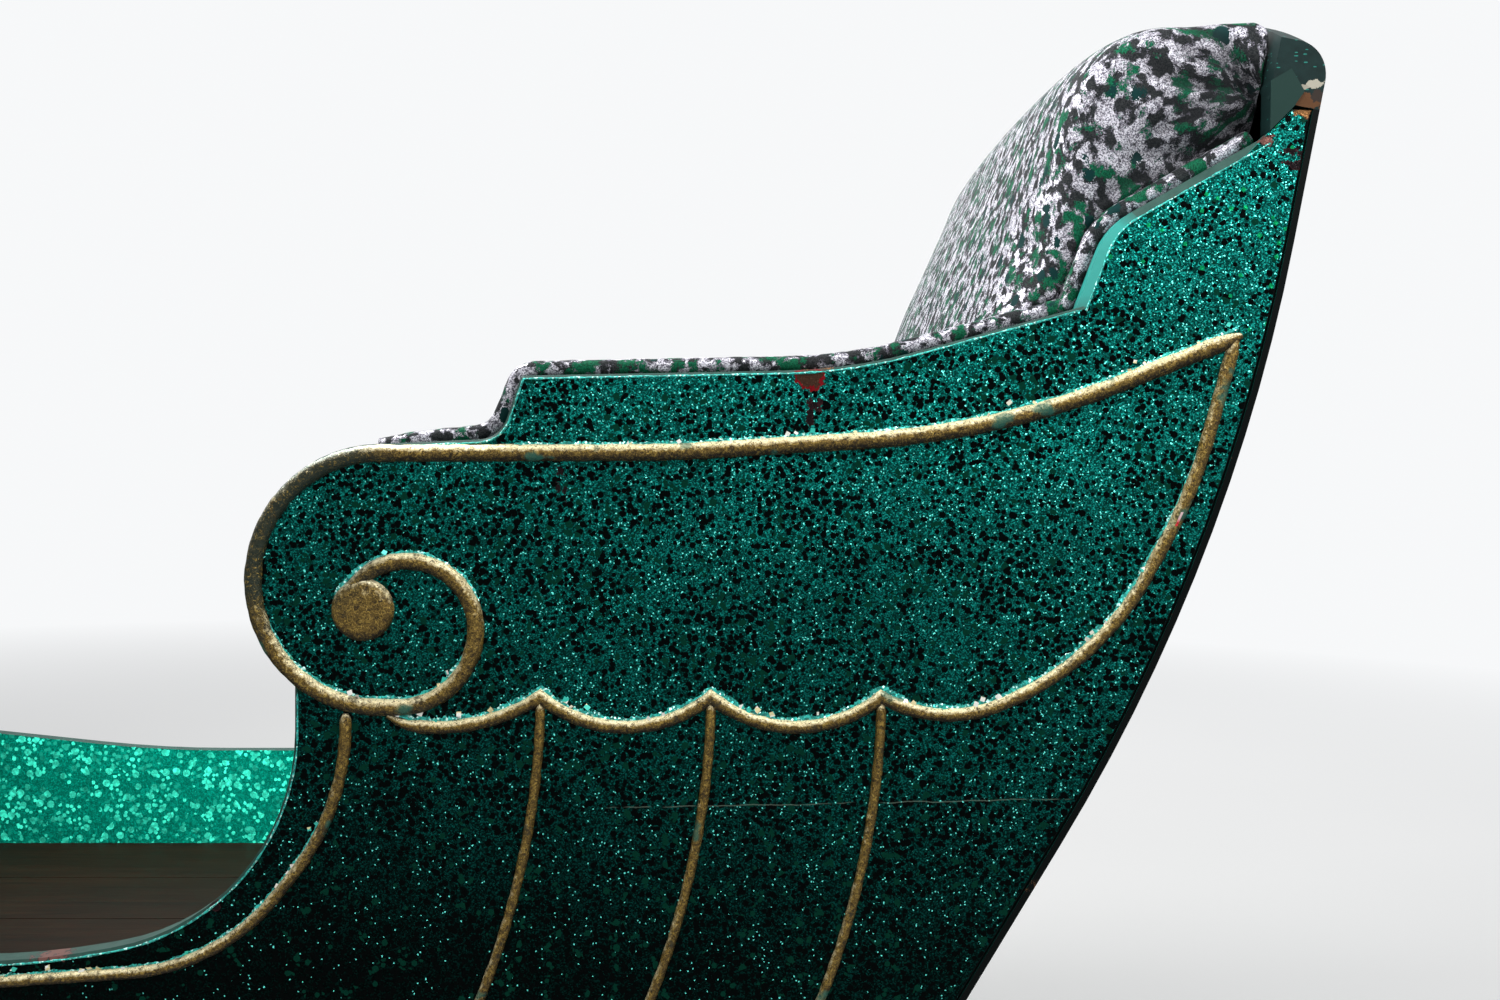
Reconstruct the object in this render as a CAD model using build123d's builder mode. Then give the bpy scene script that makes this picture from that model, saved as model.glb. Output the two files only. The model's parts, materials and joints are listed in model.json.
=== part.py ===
from build123d import *
from math import acos, asin, atan2, cos, degrees, hypot, radians, sin, tan
import os

# A horse drawn sleigh for two: a scrolled wooden body on a pair of runners,
# with hinged shafts and a swingletree. Millimetres, +Z up, front towards -X.
# Heights are from the ground. Lengths x are from the middle of the seat, and
# origin_x brings them to the middle of the whole sleigh with its shafts down.

os.makedirs("parts", exist_ok=True)

# Body
inner_width = 950.0
board_thickness = 24.0
edge_bevel = 3.0
wing_bevel = 8.0
seat_gap = 0.3
board_bottom = 290.0
floor_top = 360.0
floor_thickness = 22.0
plank_count = 5
plank_gap = 2.0
bearer_width = 60.0

# Side board
wing_top = 1302.0
wing_top_width = 19.0
rear_top_x = 524.0
rear_waist_x = 442.0
rear_waist_z = 881.0
rear_bottom_x = 83.0
arm_front_x = -213.0
arm_top = 1054.0
wing_foot_x = 305.0
wing_foot_z = 1117.0
neck_x = -424.0
dip_low = 508.0
dip_rise = 0.105
dip_front_x = -941.0
dash_inner_x = -1285.0
dash_round = 90.0
scroll_x = -344.0
scroll_z = 863.5
scroll_radius = 127.0
front_bottom_x = -1200.0
dash_knee_x = -1400.0
dash_knee_z = 540.0
dash_neck_x = -1456.0
dash_scroll_x = -1398.0
dash_scroll_z = 868.0
dash_scroll_radius = 92.0

# Gilt beads on the side boards
bead_width = 16.0
bead_height = 8.0
thin_width = 11.0
thin_height = 6.0
bead_margin = 1.0
curl_radius = 72.0
curl_shift = 17.0
curl_turn = 236.0
boss_share = 0.408
boss_height = 8.0
dash_curl_radius = 42.0
scallop_pitch = 158.5
first_cusp_x = -195.0
cusp_z = 755.0
scallop_sag = 28.0
rib_foot = 306.0

# Back and dash
panel_thickness = 6.0
crest_depth = 42.0
crest_height = 60.0
crest_rise = 110.0
crest_round = 30.0
back_reach = 300.0
block_proud = 2.5
dash_inset = 6.0
roll_thickness = 12.0

# Seat
seat_board_top = 690.0
seat_board_thickness = 22.0
riser_x = -396.0
riser_thickness = 20.0
seat_nose = 8.0
seat_top = 812.0
inner_back_foot_x = 240.0
inner_back_lean = 0.372
inner_back_thickness = 18.0
inner_back_top = 1240.0
arm_pad_width = 90.0
arm_pad_proud = 18.0
pad_rise = 30.0
pad_gap = 8.0
soft_gap = 2.0

# Runners
track_inset = 55.0
runner_width = 44.0
runner_height = 46.0
shoe_thickness = 8.0
runner_rear_x = 330.0
runner_front_x = -1240.0
nose_radius = 380.0
nose_turn = 112.0
beam_height = 50.0
beam_width = 70.0
beam_overhang = 45.0
post_foot = 150.0
post_waist = 46.0
post_head = 110.0
post_thickness = 40.0
nose_bar_radius = 17.0
stay_width = 30.0
stay_height = 8.0
stay_y = 260.0

# Draft gear
hinge_gap = 70.0
hinge_z = 262.0
plate_thickness = 8.0
plate_half = 20.0
plate_clip = 11.0
plate_reach = 60.0
pin_radius = 8.0
pin_clearance = 0.1
pin_head = 6.0
eye_width = 36.0
shaft_length = 2150.0
tip_half = 300.0
shaft_height = 46.0
shaft_width = 36.0
shaft_start = 46.0
tip_size = 30.0
crossbar_at = 430.0
crossbar_width = 50.0
crossbar_height = 30.0
crossbar_overhang = 34.0
swingle_half = 380.0
swingle_width = 46.0
swingle_height = 40.0
swingle_end = 30.0
swingle_gap = 6.0
bolt_radius = 9.0
bolt_head_radius = 18.0
bolt_head = 8.0
hook_radius = 16.0
hook_hole = 9.0
hook_thickness = 10.0

half_in = inner_width / 2
half_out = half_in + board_thickness
track_half = half_in - track_inset
floor_under = floor_top - floor_thickness
runner_top = shoe_thickness + runner_height
beam_bottom = board_bottom - beam_height
rear_slope = (rear_top_x - rear_waist_x) / (wing_top - rear_waist_z)
crest_lean = degrees(atan2(rear_slope, 1))
crest_top = crest_height + crest_rise

# The shafts turn on pins ahead of the runner noses. At rest they droop until
# their tips lie on the ground.
hinge_x = runner_front_x - nose_radius - hinge_gap
tip_reach = hypot(shaft_length, tip_size / 2)
droop = asin(hinge_z / tip_reach) - atan2(tip_size / 2, shaft_length)

# Ends of the whole sleigh, whose middle is the origin
front_end_x = hinge_x - shaft_length * cos(droop) - tip_size / 2 * sin(droop)
rear_end_x = (
    rear_top_x
    + (crest_top - crest_round) * sin(radians(crest_lean))
    + (panel_thickness - crest_round) * cos(radians(crest_lean))
    + crest_round
)
origin_x = -(front_end_x + rear_end_x) / 2

sides = [("left", -1), ("right", 1)]


def side_plane(y):
    """Upright plane along the sleigh at y, drawn in (x, z), facing -Y."""
    return Plane(origin=(origin_x, y, 0), x_dir=(1, 0, 0), z_dir=(0, -1, 0))


def level_plane(x, y, z):
    return Plane((origin_x + x, y, z))


def finish(piece, label):
    piece.part.label = label
    export_step(piece.part, f"parts/{label}.step")


def rounded(corners):
    """Edge chain through corners (x, z, radius); the end radii are not used."""
    points = [(x, z) for x, z, _ in corners]
    return FilletPolyline(*points, radius=[r for _, _, r in corners[1:-1]])


def parallel(corners, distance):
    """The corners moved to the left of the way they run, with their radii."""
    moved = []
    for i, (x, z, r) in enumerate(corners):
        ahead = corners[i + 1] if i < len(corners) - 1 else None
        behind = corners[i - 1] if i > 0 else (2 * x - ahead[0], 2 * z - ahead[1])
        ahead = ahead or (2 * x - behind[0], 2 * z - behind[1])
        into = atan2(z - behind[1], x - behind[0])
        turn = atan2(ahead[1] - z, ahead[0] - x) - into
        turn = atan2(sin(turn), cos(turn))
        reach = distance / cos(turn / 2)
        middle = into + turn / 2
        radius = r - distance if turn > 0 else r + distance
        moved.append((x - reach * sin(middle), z + reach * cos(middle), max(radius, 0)))
    return moved


def band(inner, outer):
    """Closed strip between two edge chains that run the same way."""
    Line(inner @ 0, outer @ 0)
    Line(inner @ 1, outer @ 1)


# Outline of a side board, as corners (x, z, radius)
rear_edge = [
    (rear_top_x, wing_top, 0),
    (rear_waist_x, rear_waist_z, 1700),
    (rear_bottom_x, board_bottom, 200),
]
front_edge = [
    (front_bottom_x, board_bottom, 300),
    (dash_knee_x, dash_knee_z, 300),
]
dash_notch_angle = 360 - degrees(acos((dash_neck_x - dash_scroll_x) / dash_scroll_radius))
dash_notch = (
    dash_neck_x,
    dash_scroll_z + dash_scroll_radius * sin(radians(dash_notch_angle)),
    0,
)
notch_angle = 360 - degrees(acos((neck_x - scroll_x) / scroll_radius))
notch_z = scroll_z + scroll_radius * sin(radians(notch_angle))
dash_top = dash_scroll_z + dash_scroll_radius
dip_edge = [
    (dash_scroll_x, dash_top, 0),
    (dash_scroll_x + 80, dash_top - 6, 70),
    (dash_inner_x, dip_low + dip_rise * (dip_front_x - dash_inner_x), dash_round),
    (dip_front_x, dip_low, 1900),
    (neck_x - 244, dip_low, 690),
    (neck_x, dip_low + 43, 205),
    (neck_x, notch_z, 0),
]
arm_edge = [
    (scroll_x, scroll_z + scroll_radius, 0),
    (arm_front_x - 20, scroll_z + scroll_radius + 5, 28),
    (arm_front_x, arm_top, 4),
    (wing_foot_x - 210, arm_top + 6, 500),
    (wing_foot_x, wing_foot_z, 0),
]
wing_end_x = rear_top_x - wing_top_width
wing_edge = [
    (wing_foot_x, wing_foot_z, 0),
    (wing_foot_x + 30, wing_foot_z + 78, 70),
    (wing_end_x - 25, wing_top - 25, 0),
]


def board_outline():
    rounded(rear_edge + front_edge + [dash_notch])
    CenterArc(
        (dash_scroll_x, dash_scroll_z), dash_scroll_radius, dash_notch_angle, 90 - dash_notch_angle
    )
    rounded(dip_edge)
    CenterArc((scroll_x, scroll_z), scroll_radius, notch_angle, 90 - notch_angle)
    rounded(arm_edge)
    wing = rounded(wing_edge)
    Polyline(wing @ 1, (wing_end_x, wing_top), (rear_top_x, wing_top))


for side, sign in sides:
    outer_side = -1 if sign > 0 else 0
    with BuildPart() as side_board:
        with BuildSketch(side_plane(half_out if sign > 0 else -half_in)):
            with BuildLine():
                board_outline()
            make_face()
        extrude(amount=board_thickness)
        with BuildLine(side_plane(sign * half_out), mode=Mode.PRIVATE) as wing_line:
            rounded(wing_edge)
        edges = side_board.faces().sort_by(Axis.Y)[outer_side].edges()
        chamfer([edge for edge in edges if wing_line.line.distance_to(edge @ 0.5) < 0.1], wing_bevel)
        edges = side_board.faces().sort_by(Axis.Y)[outer_side].edges()
        wide = wing_bevel + 0.5
        chamfer([edge for edge in edges if wing_line.line.distance_to(edge @ 0.5) > wide], edge_bevel)
    finish(side_board, f"side_board_{side}")


# Gilt beads, half round, on the outer faces. Each runs in (x, z) on its face.
bead_radius = scroll_radius - bead_width / 2 - bead_margin
thin_radius = dash_scroll_radius - thin_width / 2 - bead_margin
bead_tip = (rear_top_x - 72, wing_top - 213)


def spiral(centre_x, centre_z, outer, curl):
    """From the top of a scroll round its front and under it, then curling in."""
    CenterArc((centre_x, centre_z), outer, 90, 180)
    shift = curl_shift * curl / curl_radius
    low = centre_z - outer
    Line((centre_x, low), (centre_x + shift, low))
    CenterArc((centre_x + shift, low + curl), curl, 270, curl_turn)


def boss(centre_x, centre_z, outer, curl):
    """Disc that a scroll's curl ends on: x, z and radius."""
    middle_x = centre_x + curl_shift * curl / curl_radius
    middle_z = centre_z - outer + curl
    return (middle_x - 0.46 * curl, middle_z + 0.26 * curl, boss_share * curl)


def main_bead_path():
    top = scroll_z + bead_radius
    rounded(
        [
            (bead_tip[0], bead_tip[1], 0),
            (bead_tip[0] - 222, bead_tip[1] - 88, 780),
            (neck_x + 354, top + 1, 1100),
            (scroll_x, top, 0),
        ]
    )
    spiral(scroll_x, scroll_z, bead_radius, curl_radius)


def dip_bead_path():
    start_x = scroll_x - 32
    beside = 32 - thin_width / 2
    under = (bead_radius + bead_width / 2 + 0.5) ** 2
    top = dash_scroll_z + thin_radius
    rounded(
        [
            (start_x, scroll_z - (under - beside**2) ** 0.5, 0),
            (neck_x + 48, dip_low + 142, 225),
            (neck_x - 70, dip_low - 4, 190),
            (dip_front_x + 2, dip_low - 34, 1500),
            (dash_inner_x - 24, dip_low + 2, dash_round + 26),
            (dash_inner_x - 53, top, 40),
            (dash_scroll_x, top, 0),
        ]
    )
    spiral(dash_scroll_x, dash_scroll_z, thin_radius, dash_curl_radius)


cusps = [(first_cusp_x + i * scallop_pitch, cusp_z) for i in range(3)]
scallop_start = (scroll_x + 26, scroll_z - bead_radius - bead_width - 0.6)


def scallop_path():
    ThreePointArc(scallop_start, (cusps[0][0] - 62, cusp_z - scallop_sag + 3), cusps[0])
    for left, right in zip(cusps, cusps[1:]):
        ThreePointArc(left, ((left[0] + right[0]) / 2, cusp_z - scallop_sag), right)
    last_x = cusps[-1][0]
    rounded(
        [
            (last_x, cusp_z, 0),
            (last_x + 57, cusp_z - 30, 125),
            (last_x + 203, cusp_z + 32, 270),
            (last_x + 290, cusp_z + 192, 480),
            (bead_tip[0] - 5, bead_tip[1] - 18, 0),
        ]
    )


def rib_path(cusp):
    top = cusp_z - 13
    ThreePointArc(
        (cusp[0], top), (cusp[0] - 27, cusp_z - 195), (cusp[0] - 150, rib_foot)
    )


def across(line, sign):
    """Plane across the start of a bead's line, x away from the board."""
    return Plane(origin=line @ 0, x_dir=(0, sign, 0), z_dir=line % 0)


def bead_section(width, height):
    """Outline of a bead's rounded section, flat side on the board."""
    half = width / 2
    Polyline((0, -half), (height, -half * 0.45), (height, half * 0.45), (0, half), close=True)


# Beads of a side: name, path, width, height, boss (x, z, radius)
bead_table = [
    (
        "scroll_bead",
        main_bead_path,
        bead_width,
        bead_height,
        boss(scroll_x, scroll_z, bead_radius, curl_radius),
    ),
    (
        "dip_bead",
        dip_bead_path,
        thin_width,
        thin_height,
        boss(dash_scroll_x, dash_scroll_z, thin_radius, dash_curl_radius),
    ),
    ("scallop_bead", scallop_path, bead_width - 2, bead_height - 1, None),
]
for side, sign in sides:
    face = side_plane(sign * half_out)
    for name, path, width, height, disc in bead_table:
        with BuildPart() as bead:
            with BuildLine(face) as line:
                path()
            route = line.wires()[0]
            with BuildSketch(across(route, sign)):
                with BuildLine():
                    bead_section(width, height)
                make_face()
            sweep(path=route, transition=Transition.RIGHT)
            if disc:
                with BuildSketch(face):
                    with Locations(disc[:2]):
                        Circle(disc[2])
                extrude(amount=-sign * boss_height)
        finish(bead, f"{name}_{side}")

    with BuildPart() as ribs:
        for cusp in cusps:
            with BuildLine(face) as line:
                rib_path(cusp)
            route = line.wires()[0]
            with BuildSketch(across(route, sign)):
                with BuildLine():
                    bead_section(thin_width, thin_height)
                make_face()
            sweep(path=route)
    finish(ribs, f"ribs_{side}")

# The hollow between the boards, from the back panel to the dash panel
dash_wall = dash_inset + panel_thickness + seat_gap
rear_run = [
    (rear_top_x + back_reach * rear_slope, wing_top + back_reach, 0),
    rear_edge[1],
    rear_edge[2],
]
back_skin = rear_run + [(rear_bottom_x - 130, board_bottom, 0)]
dash_skin = [(front_bottom_x + 150, board_bottom, 0)] + front_edge + [dash_notch]


def hollow_solid(width, wall):
    """What trims the pieces that end at the hollow, a wall behind the dash's line."""
    with BuildPart(mode=Mode.PRIVATE) as room:
        with BuildSketch(side_plane(width / 2)):
            with BuildLine():
                back = rounded(back_skin)
                dash = rounded(parallel(dash_skin, -wall))
                Line(back @ 1, dash @ 0)
                Line(dash @ 1, back @ 0)
            make_face()
        extrude(amount=width)
    return room.part


hollow = hollow_solid(inner_width + 20, dash_wall)

# Floor of lengthwise planks on cross bearers
plank_width = (inner_width - (plank_count - 1) * plank_gap) / plank_count
floor_length = rear_waist_x - dash_knee_x
with BuildPart() as floor_planks:
    with BuildSketch(level_plane((rear_waist_x + dash_knee_x) / 2, 0, floor_under)):
        with GridLocations(1, plank_width + plank_gap, 1, plank_count):
            Rectangle(floor_length, plank_width)
    extrude(amount=floor_thickness)
    add(hollow, mode=Mode.INTERSECT)
finish(floor_planks, "floor_planks")

beam_places = [-990.0, -550.0, -110.0]
with BuildPart() as floor_bearers:
    for x in beam_places:
        with BuildSketch(level_plane(x, 0, board_bottom)):
            Rectangle(bearer_width, inner_width)
    extrude(amount=floor_under - board_bottom)
finish(floor_bearers, "floor_bearers")

# Curved back panel over the rear edges, up to the crest rail
crest_plane = Plane(
    origin=(origin_x + rear_top_x, 0, wing_top),
    x_dir=(0, 1, 0),
    z_dir=(cos(radians(crest_lean)), 0, -sin(radians(crest_lean))),
)


def arch(height, half):
    """Curve of the crowned top, at a height above the wing tops."""
    return ThreePointArc((-half, height), (0, height + crest_rise), (half, height))


def below_arch(height, depth):
    """What trims a piece under the crowned top, to a depth below the wing tops."""
    with BuildPart(mode=Mode.PRIVATE) as under:
        with BuildSketch(crest_plane.offset(-back_reach * 3)):
            with BuildLine():
                top = arch(height, half_out)
                Polyline(top @ 1, (half_out, -depth), (-half_out, -depth), top @ 0)
            make_face()
        extrude(amount=back_reach * 6)
    return under.part


with BuildPart() as back_panel:
    with BuildSketch(side_plane(half_out)):
        with BuildLine():
            band(rounded(back_skin), rounded(parallel(back_skin, panel_thickness)))
        make_face()
    extrude(amount=2 * half_out)
    add(below_arch(0, wing_top), mode=Mode.INTERSECT)
finish(back_panel, "back_panel")

# Block on each end of the crest rail, down to the wing's slope: x from the wing's
# top corner and height above it
crest_block = [(-22, -20.5), (-21, 26), (-2, 37), (10, 16), (0, 1.5)]
with BuildPart() as crest_rail:
    with BuildSketch(crest_plane.offset(panel_thickness)):
        with BuildLine():
            band(arch(0, half_out), arch(crest_height, half_out))
        make_face()
    extrude(amount=-crest_depth - panel_thickness)
    with BuildLine(crest_plane.offset(panel_thickness), mode=Mode.PRIVATE) as crown:
        arch(crest_height, half_out)
    upper = [edge for edge in crest_rail.edges() if crown.line.distance_to(edge @ 0.5) < 0.1]
    fillet(upper, crest_round)
    for _, sign in sides:
        with BuildSketch(side_plane(half_out + block_proud if sign > 0 else -half_in)):
            with BuildLine():
                Polyline([(wing_end_x + x, wing_top + z) for x, z in crest_block], close=True)
            make_face()
        extrude(amount=board_thickness + block_proud)
finish(crest_rail, "crest_rail")

# Dash panel between the boards, and the roll at its top
roll_radius = dash_scroll_radius - dash_inset
with BuildPart() as dash_panel:
    with BuildSketch(side_plane(half_in)):
        with BuildLine():
            band(
                rounded(parallel(dash_skin, -dash_inset)),
                rounded(parallel(dash_skin, -dash_inset - panel_thickness)),
            )
        make_face()
        with Locations((dash_scroll_x, dash_scroll_z)):
            Circle(roll_radius + seat_gap, mode=Mode.SUBTRACT)
    extrude(amount=inner_width)
finish(dash_panel, "dash_panel")

with BuildPart() as dash_roll:
    with BuildSketch(side_plane(half_in)):
        with Locations((dash_scroll_x, dash_scroll_z)):
            Circle(roll_radius)
            Circle(roll_radius - roll_thickness, mode=Mode.SUBTRACT)
    extrude(amount=inner_width)
finish(dash_roll, "dash_roll")

# Seat box
seat_under = seat_board_top - seat_board_thickness
seat_front_x = riser_x - riser_thickness / 2 - seat_nose
with BuildPart() as seat_riser:
    with BuildSketch(level_plane(riser_x, 0, floor_top)):
        Rectangle(riser_thickness, inner_width)
    extrude(amount=seat_under - floor_top)
finish(seat_riser, "seat_riser")

with BuildPart() as seat_board:
    with BuildSketch(level_plane((seat_front_x + rear_top_x) / 2, 0, seat_under)):
        Rectangle(rear_top_x - seat_front_x, inner_width)
    extrude(amount=seat_board_thickness)
    add(hollow, mode=Mode.INTERSECT)
finish(seat_board, "seat_board")


def back_line(z):
    """x of the inner back's front face at a height."""
    return inner_back_foot_x + inner_back_lean * (z - seat_board_top)


with BuildPart() as inner_back:
    with BuildSketch(side_plane(half_in)):
        with BuildLine():
            Polyline(
                (back_line(seat_board_top), seat_board_top),
                (back_line(inner_back_top), inner_back_top),
                (back_line(inner_back_top) + inner_back_thickness, inner_back_top),
                (back_line(seat_board_top) + inner_back_thickness, seat_board_top),
                close=True,
            )
        make_face()
    extrude(amount=inner_width)
finish(inner_back, "inner_back")

# Cushions
cushion_bottom = seat_board_top + seat_gap
cushion_half = half_in - arm_pad_width - soft_gap
cushion_back_x = back_line(cushion_bottom) - soft_gap
with BuildPart() as seat_cushion:
    with BuildSketch(side_plane(cushion_half)):
        with BuildLine():
            run = rounded(
                [
                    (cushion_back_x, cushion_bottom, 0),
                    (seat_front_x + 4, cushion_bottom, 25),
                    (seat_front_x - 4, seat_top, 45),
                    (cushion_back_x, seat_top, 0),
                ]
            )
            Line(run @ 1, run @ 0)
        make_face()
    extrude(amount=2 * cushion_half)
finish(seat_cushion, "seat_cushion")

crest_front_x = rear_top_x - (crest_depth + seat_gap) / cos(radians(crest_lean))
low_z = seat_top + soft_gap
cushion_half_width = half_in - soft_gap
# The back cushion's front, as corners (x, z, radius) and the height of its crown
# above the wing tops: foot, lean and roll, at its ends and in the middle
end_foot, end_lean, end_roll, end_crown = (128, low_z, 50), (282, 1167, 300), (344, 1389, 103), 75
mid_foot, mid_lean, mid_roll, mid_crown = (90, low_z, 50), (213, 1158, 300), (306, 1354, 134), 175
cushion_shares = [-1, -0.6, 0, 0.6, 1]
cushion_chords = 3
crest_drop = 24.0


def between(end, middle, share):
    """Bulges from the ends to the middle as a parabola across the sleigh."""
    return tuple(m + (e - m) * share**2 for e, m in zip(end, middle))


def eased(corners, chords):
    """Points of the line through the corners, each fillet as a few chords."""
    points = [corners[0][:2]]
    for (ax, az, _), (bx, bz, radius), (cx, cz, _) in zip(corners, corners[1:], corners[2:]):
        into = atan2(bz - az, bx - ax)
        turn = atan2(cz - bz, cx - bx) - into
        reach = radius * tan(abs(turn) / 2)
        start_x = bx - reach * cos(into)
        start_z = bz - reach * sin(into)
        side = radius if turn > 0 else -radius
        middle_x = start_x - side * sin(into)
        middle_z = start_z + side * cos(into)
        for i in range(chords + 1):
            angle = into + turn * i / chords
            points.append((middle_x + side * sin(angle), middle_z - side * cos(angle)))
    return points + [corners[-1][:2]]


with BuildPart() as back_cushion:
    for share in cushion_shares:
        crown = end_crown * share**2 + mid_crown * (1 - share**2)
        with BuildSketch(side_plane(share * cushion_half_width)):
            with BuildLine():
                front = eased(
                    [
                        (back_line(low_z) - seat_gap, low_z, 0),
                        between(end_foot, mid_foot, share),
                        between(end_lean, mid_lean, share),
                        between(end_roll, mid_roll, share),
                        (crest_front_x + crown * rear_slope, wing_top + crown, 0),
                    ],
                    cushion_chords,
                )
                rear = [
                    (crest_front_x - crest_drop * rear_slope, wing_top - crest_drop),
                    (back_line(inner_back_top) - seat_gap, inner_back_top),
                ]
                Polyline(front + rear, close=True)
            make_face()
    loft(ruled=True)
finish(back_cushion, "back_cushion")

pad_top = arm_top + arm_pad_proud
pad_share = 1 - arm_pad_width / cushion_half_width
foot_x, foot_z, _ = between(end_foot, mid_foot, pad_share)
lean_x, lean_z, _ = between(end_lean, mid_lean, pad_share)
pad_rear_slope = (lean_x - foot_x) / (lean_z - foot_z)
pad_rear_x = foot_x - pad_gap + pad_rear_slope * (pad_top + pad_rise - foot_z)
for side, sign in sides:
    with BuildPart() as arm_pad:
        with BuildSketch(side_plane(sign * (half_in - arm_pad_width / 2) + arm_pad_width / 2)):
            with BuildLine():
                rear = Polyline(
                    (foot_x - pad_gap, cushion_bottom),
                    (foot_x - pad_gap, foot_z),
                    (pad_rear_x, pad_top + pad_rise),
                )
                top = rounded(
                    [
                        (pad_rear_x, pad_top + pad_rise, 0),
                        (wing_foot_x - 210, pad_top + 6, 500),
                        (arm_front_x + 5, pad_top, 60),
                        (arm_front_x - 55, scroll_z + scroll_radius + 12, 70),
                        (seat_front_x, scroll_z + scroll_radius, 60),
                        (seat_front_x, cushion_bottom, 0),
                    ]
                )
                Line(top @ 1, rear @ 0)
            make_face()
        extrude(amount=arm_pad_width)
    finish(arm_pad, f"arm_pad_{side}")

# Runners with upturned noses, steel shoes below
def runner_strip(outer_radius, inner_radius):
    """Strip between two distances from the nose centre, straight behind it."""
    for radius in (outer_radius, inner_radius):
        Line((runner_rear_x, nose_radius - radius), (runner_front_x, nose_radius - radius))
        CenterArc((runner_front_x, nose_radius), radius, 270, -nose_turn)
    end = radians(270 - nose_turn)
    Line(
        (runner_front_x + outer_radius * cos(end), nose_radius + outer_radius * sin(end)),
        (runner_front_x + inner_radius * cos(end), nose_radius + inner_radius * sin(end)),
    )
    Line(
        (runner_rear_x, nose_radius - outer_radius), (runner_rear_x, nose_radius - inner_radius)
    )


wood_radius = nose_radius - shoe_thickness
upper_radius = nose_radius - runner_top
for side, sign in sides:
    outer_y = sign * track_half + runner_width / 2
    with BuildPart() as runner:
        with BuildSketch(side_plane(outer_y)):
            with BuildLine():
                runner_strip(wood_radius, upper_radius)
            make_face()
        extrude(amount=runner_width)
    finish(runner, f"runner_{side}")

    with BuildPart() as runner_shoe:
        with BuildSketch(side_plane(outer_y)):
            with BuildLine():
                runner_strip(nose_radius, wood_radius)
            make_face()
        extrude(amount=runner_width)
    finish(runner_shoe, f"runner_shoe_{side}")

    with BuildPart() as posts:
        with BuildSketch(side_plane(sign * track_half + post_thickness / 2)):
            for x in beam_places:
                with BuildLine():
                    waist_z = (runner_top + beam_bottom) / 2
                    front = ThreePointArc(
                        (x - post_foot / 2, runner_top),
                        (x - post_waist / 2, waist_z),
                        (x - post_head / 2, beam_bottom),
                    )
                    rear = ThreePointArc(
                        (x + post_foot / 2, runner_top),
                        (x + post_waist / 2, waist_z),
                        (x + post_head / 2, beam_bottom),
                    )
                    band(front, rear)
                make_face()
        extrude(amount=post_thickness)
    finish(posts, f"posts_{side}")

with BuildPart() as cross_beams:
    for x in beam_places:
        with BuildSketch(level_plane(x, 0, beam_bottom)):
            Rectangle(beam_width, 2 * (track_half + beam_overhang))
    extrude(amount=beam_height)
finish(cross_beams, "cross_beams")

nose_angle = radians(270 - nose_turn + 10)
nose_middle = (wood_radius + upper_radius) / 2
nose_length = 2 * track_half - runner_width
with BuildPart() as nose_bar:
    with BuildSketch(side_plane(nose_length / 2)):
        with Locations(
            (
                runner_front_x + nose_middle * cos(nose_angle),
                nose_radius + nose_middle * sin(nose_angle),
            )
        ):
            Circle(nose_bar_radius)
    extrude(amount=nose_length)
finish(nose_bar, "nose_bar")

# Iron stays from the nose bar back to the dash
stay_x = runner_front_x + nose_middle * cos(nose_angle) + nose_bar_radius
stay_z = nose_radius + nose_middle * sin(nose_angle)
with BuildPart() as dash_stays:
    for y in (-stay_y, 0, stay_y):
        with BuildSketch(Plane((origin_x + stay_x + seat_gap, y, stay_z), (0, 1, 0), (1, 0, 0))):
            Rectangle(stay_width, stay_height)
        extrude(amount=front_bottom_x - stay_x)
    add(hollow_solid(inner_width, dash_inset - seat_gap), mode=Mode.SUBTRACT)
finish(dash_stays, "dash_stays")

# Hinge plates on both faces of each runner, with a pin through the shaft's eye
plate_rear_x = hinge_x + hinge_gap + plate_reach
with BuildPart() as hinge_plates:
    for _, sign in sides:
        for face in (-1, 1):
            y = sign * track_half + face * (runner_width + plate_thickness) / 2
            with BuildSketch(side_plane(y + plate_thickness / 2)) as hinge_sketch:
                with Locations(((hinge_x + plate_rear_x) / 2, hinge_z)):
                    Rectangle(plate_rear_x - hinge_x + 2 * plate_half, 2 * plate_half)
                chamfer(hinge_sketch.vertices(), plate_clip)
                with Locations((hinge_x, hinge_z)):
                    Circle(pin_radius + pin_clearance, mode=Mode.SUBTRACT)
            extrude(amount=plate_thickness)
finish(hinge_plates, "hinge_plates")

pin_length = runner_width + 2 * (plate_thickness + pin_head)
with BuildPart() as hinge_pins:
    for _, sign in sides:
        with BuildSketch(side_plane(sign * track_half + pin_length / 2)):
            with Locations((hinge_x, hinge_z)):
                Circle(pin_radius)
        extrude(amount=pin_length)
finish(hinge_pins, "hinge_pins")


def shaft_plane(along, y=0.0, above=0.0):
    """Plane across the shafts, at a distance ahead of the hinge, x to the right."""
    return Plane(
        origin=(
            origin_x + hinge_x - along * cos(droop) - above * sin(droop),
            y,
            hinge_z - along * sin(droop) + above * cos(droop),
        ),
        x_dir=(0, 1, 0),
        z_dir=(-cos(droop), 0, -sin(droop)),
    )


def shaft_top_plane(along, above):
    """Plane along the shafts' upper side, x forward."""
    at = shaft_plane(along, 0, above)
    return Plane(origin=at.origin, x_dir=at.z_dir, z_dir=(-sin(droop), 0, cos(droop)))


def shaft_y(along):
    return track_half + (tip_half - track_half) * along / shaft_length


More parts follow.
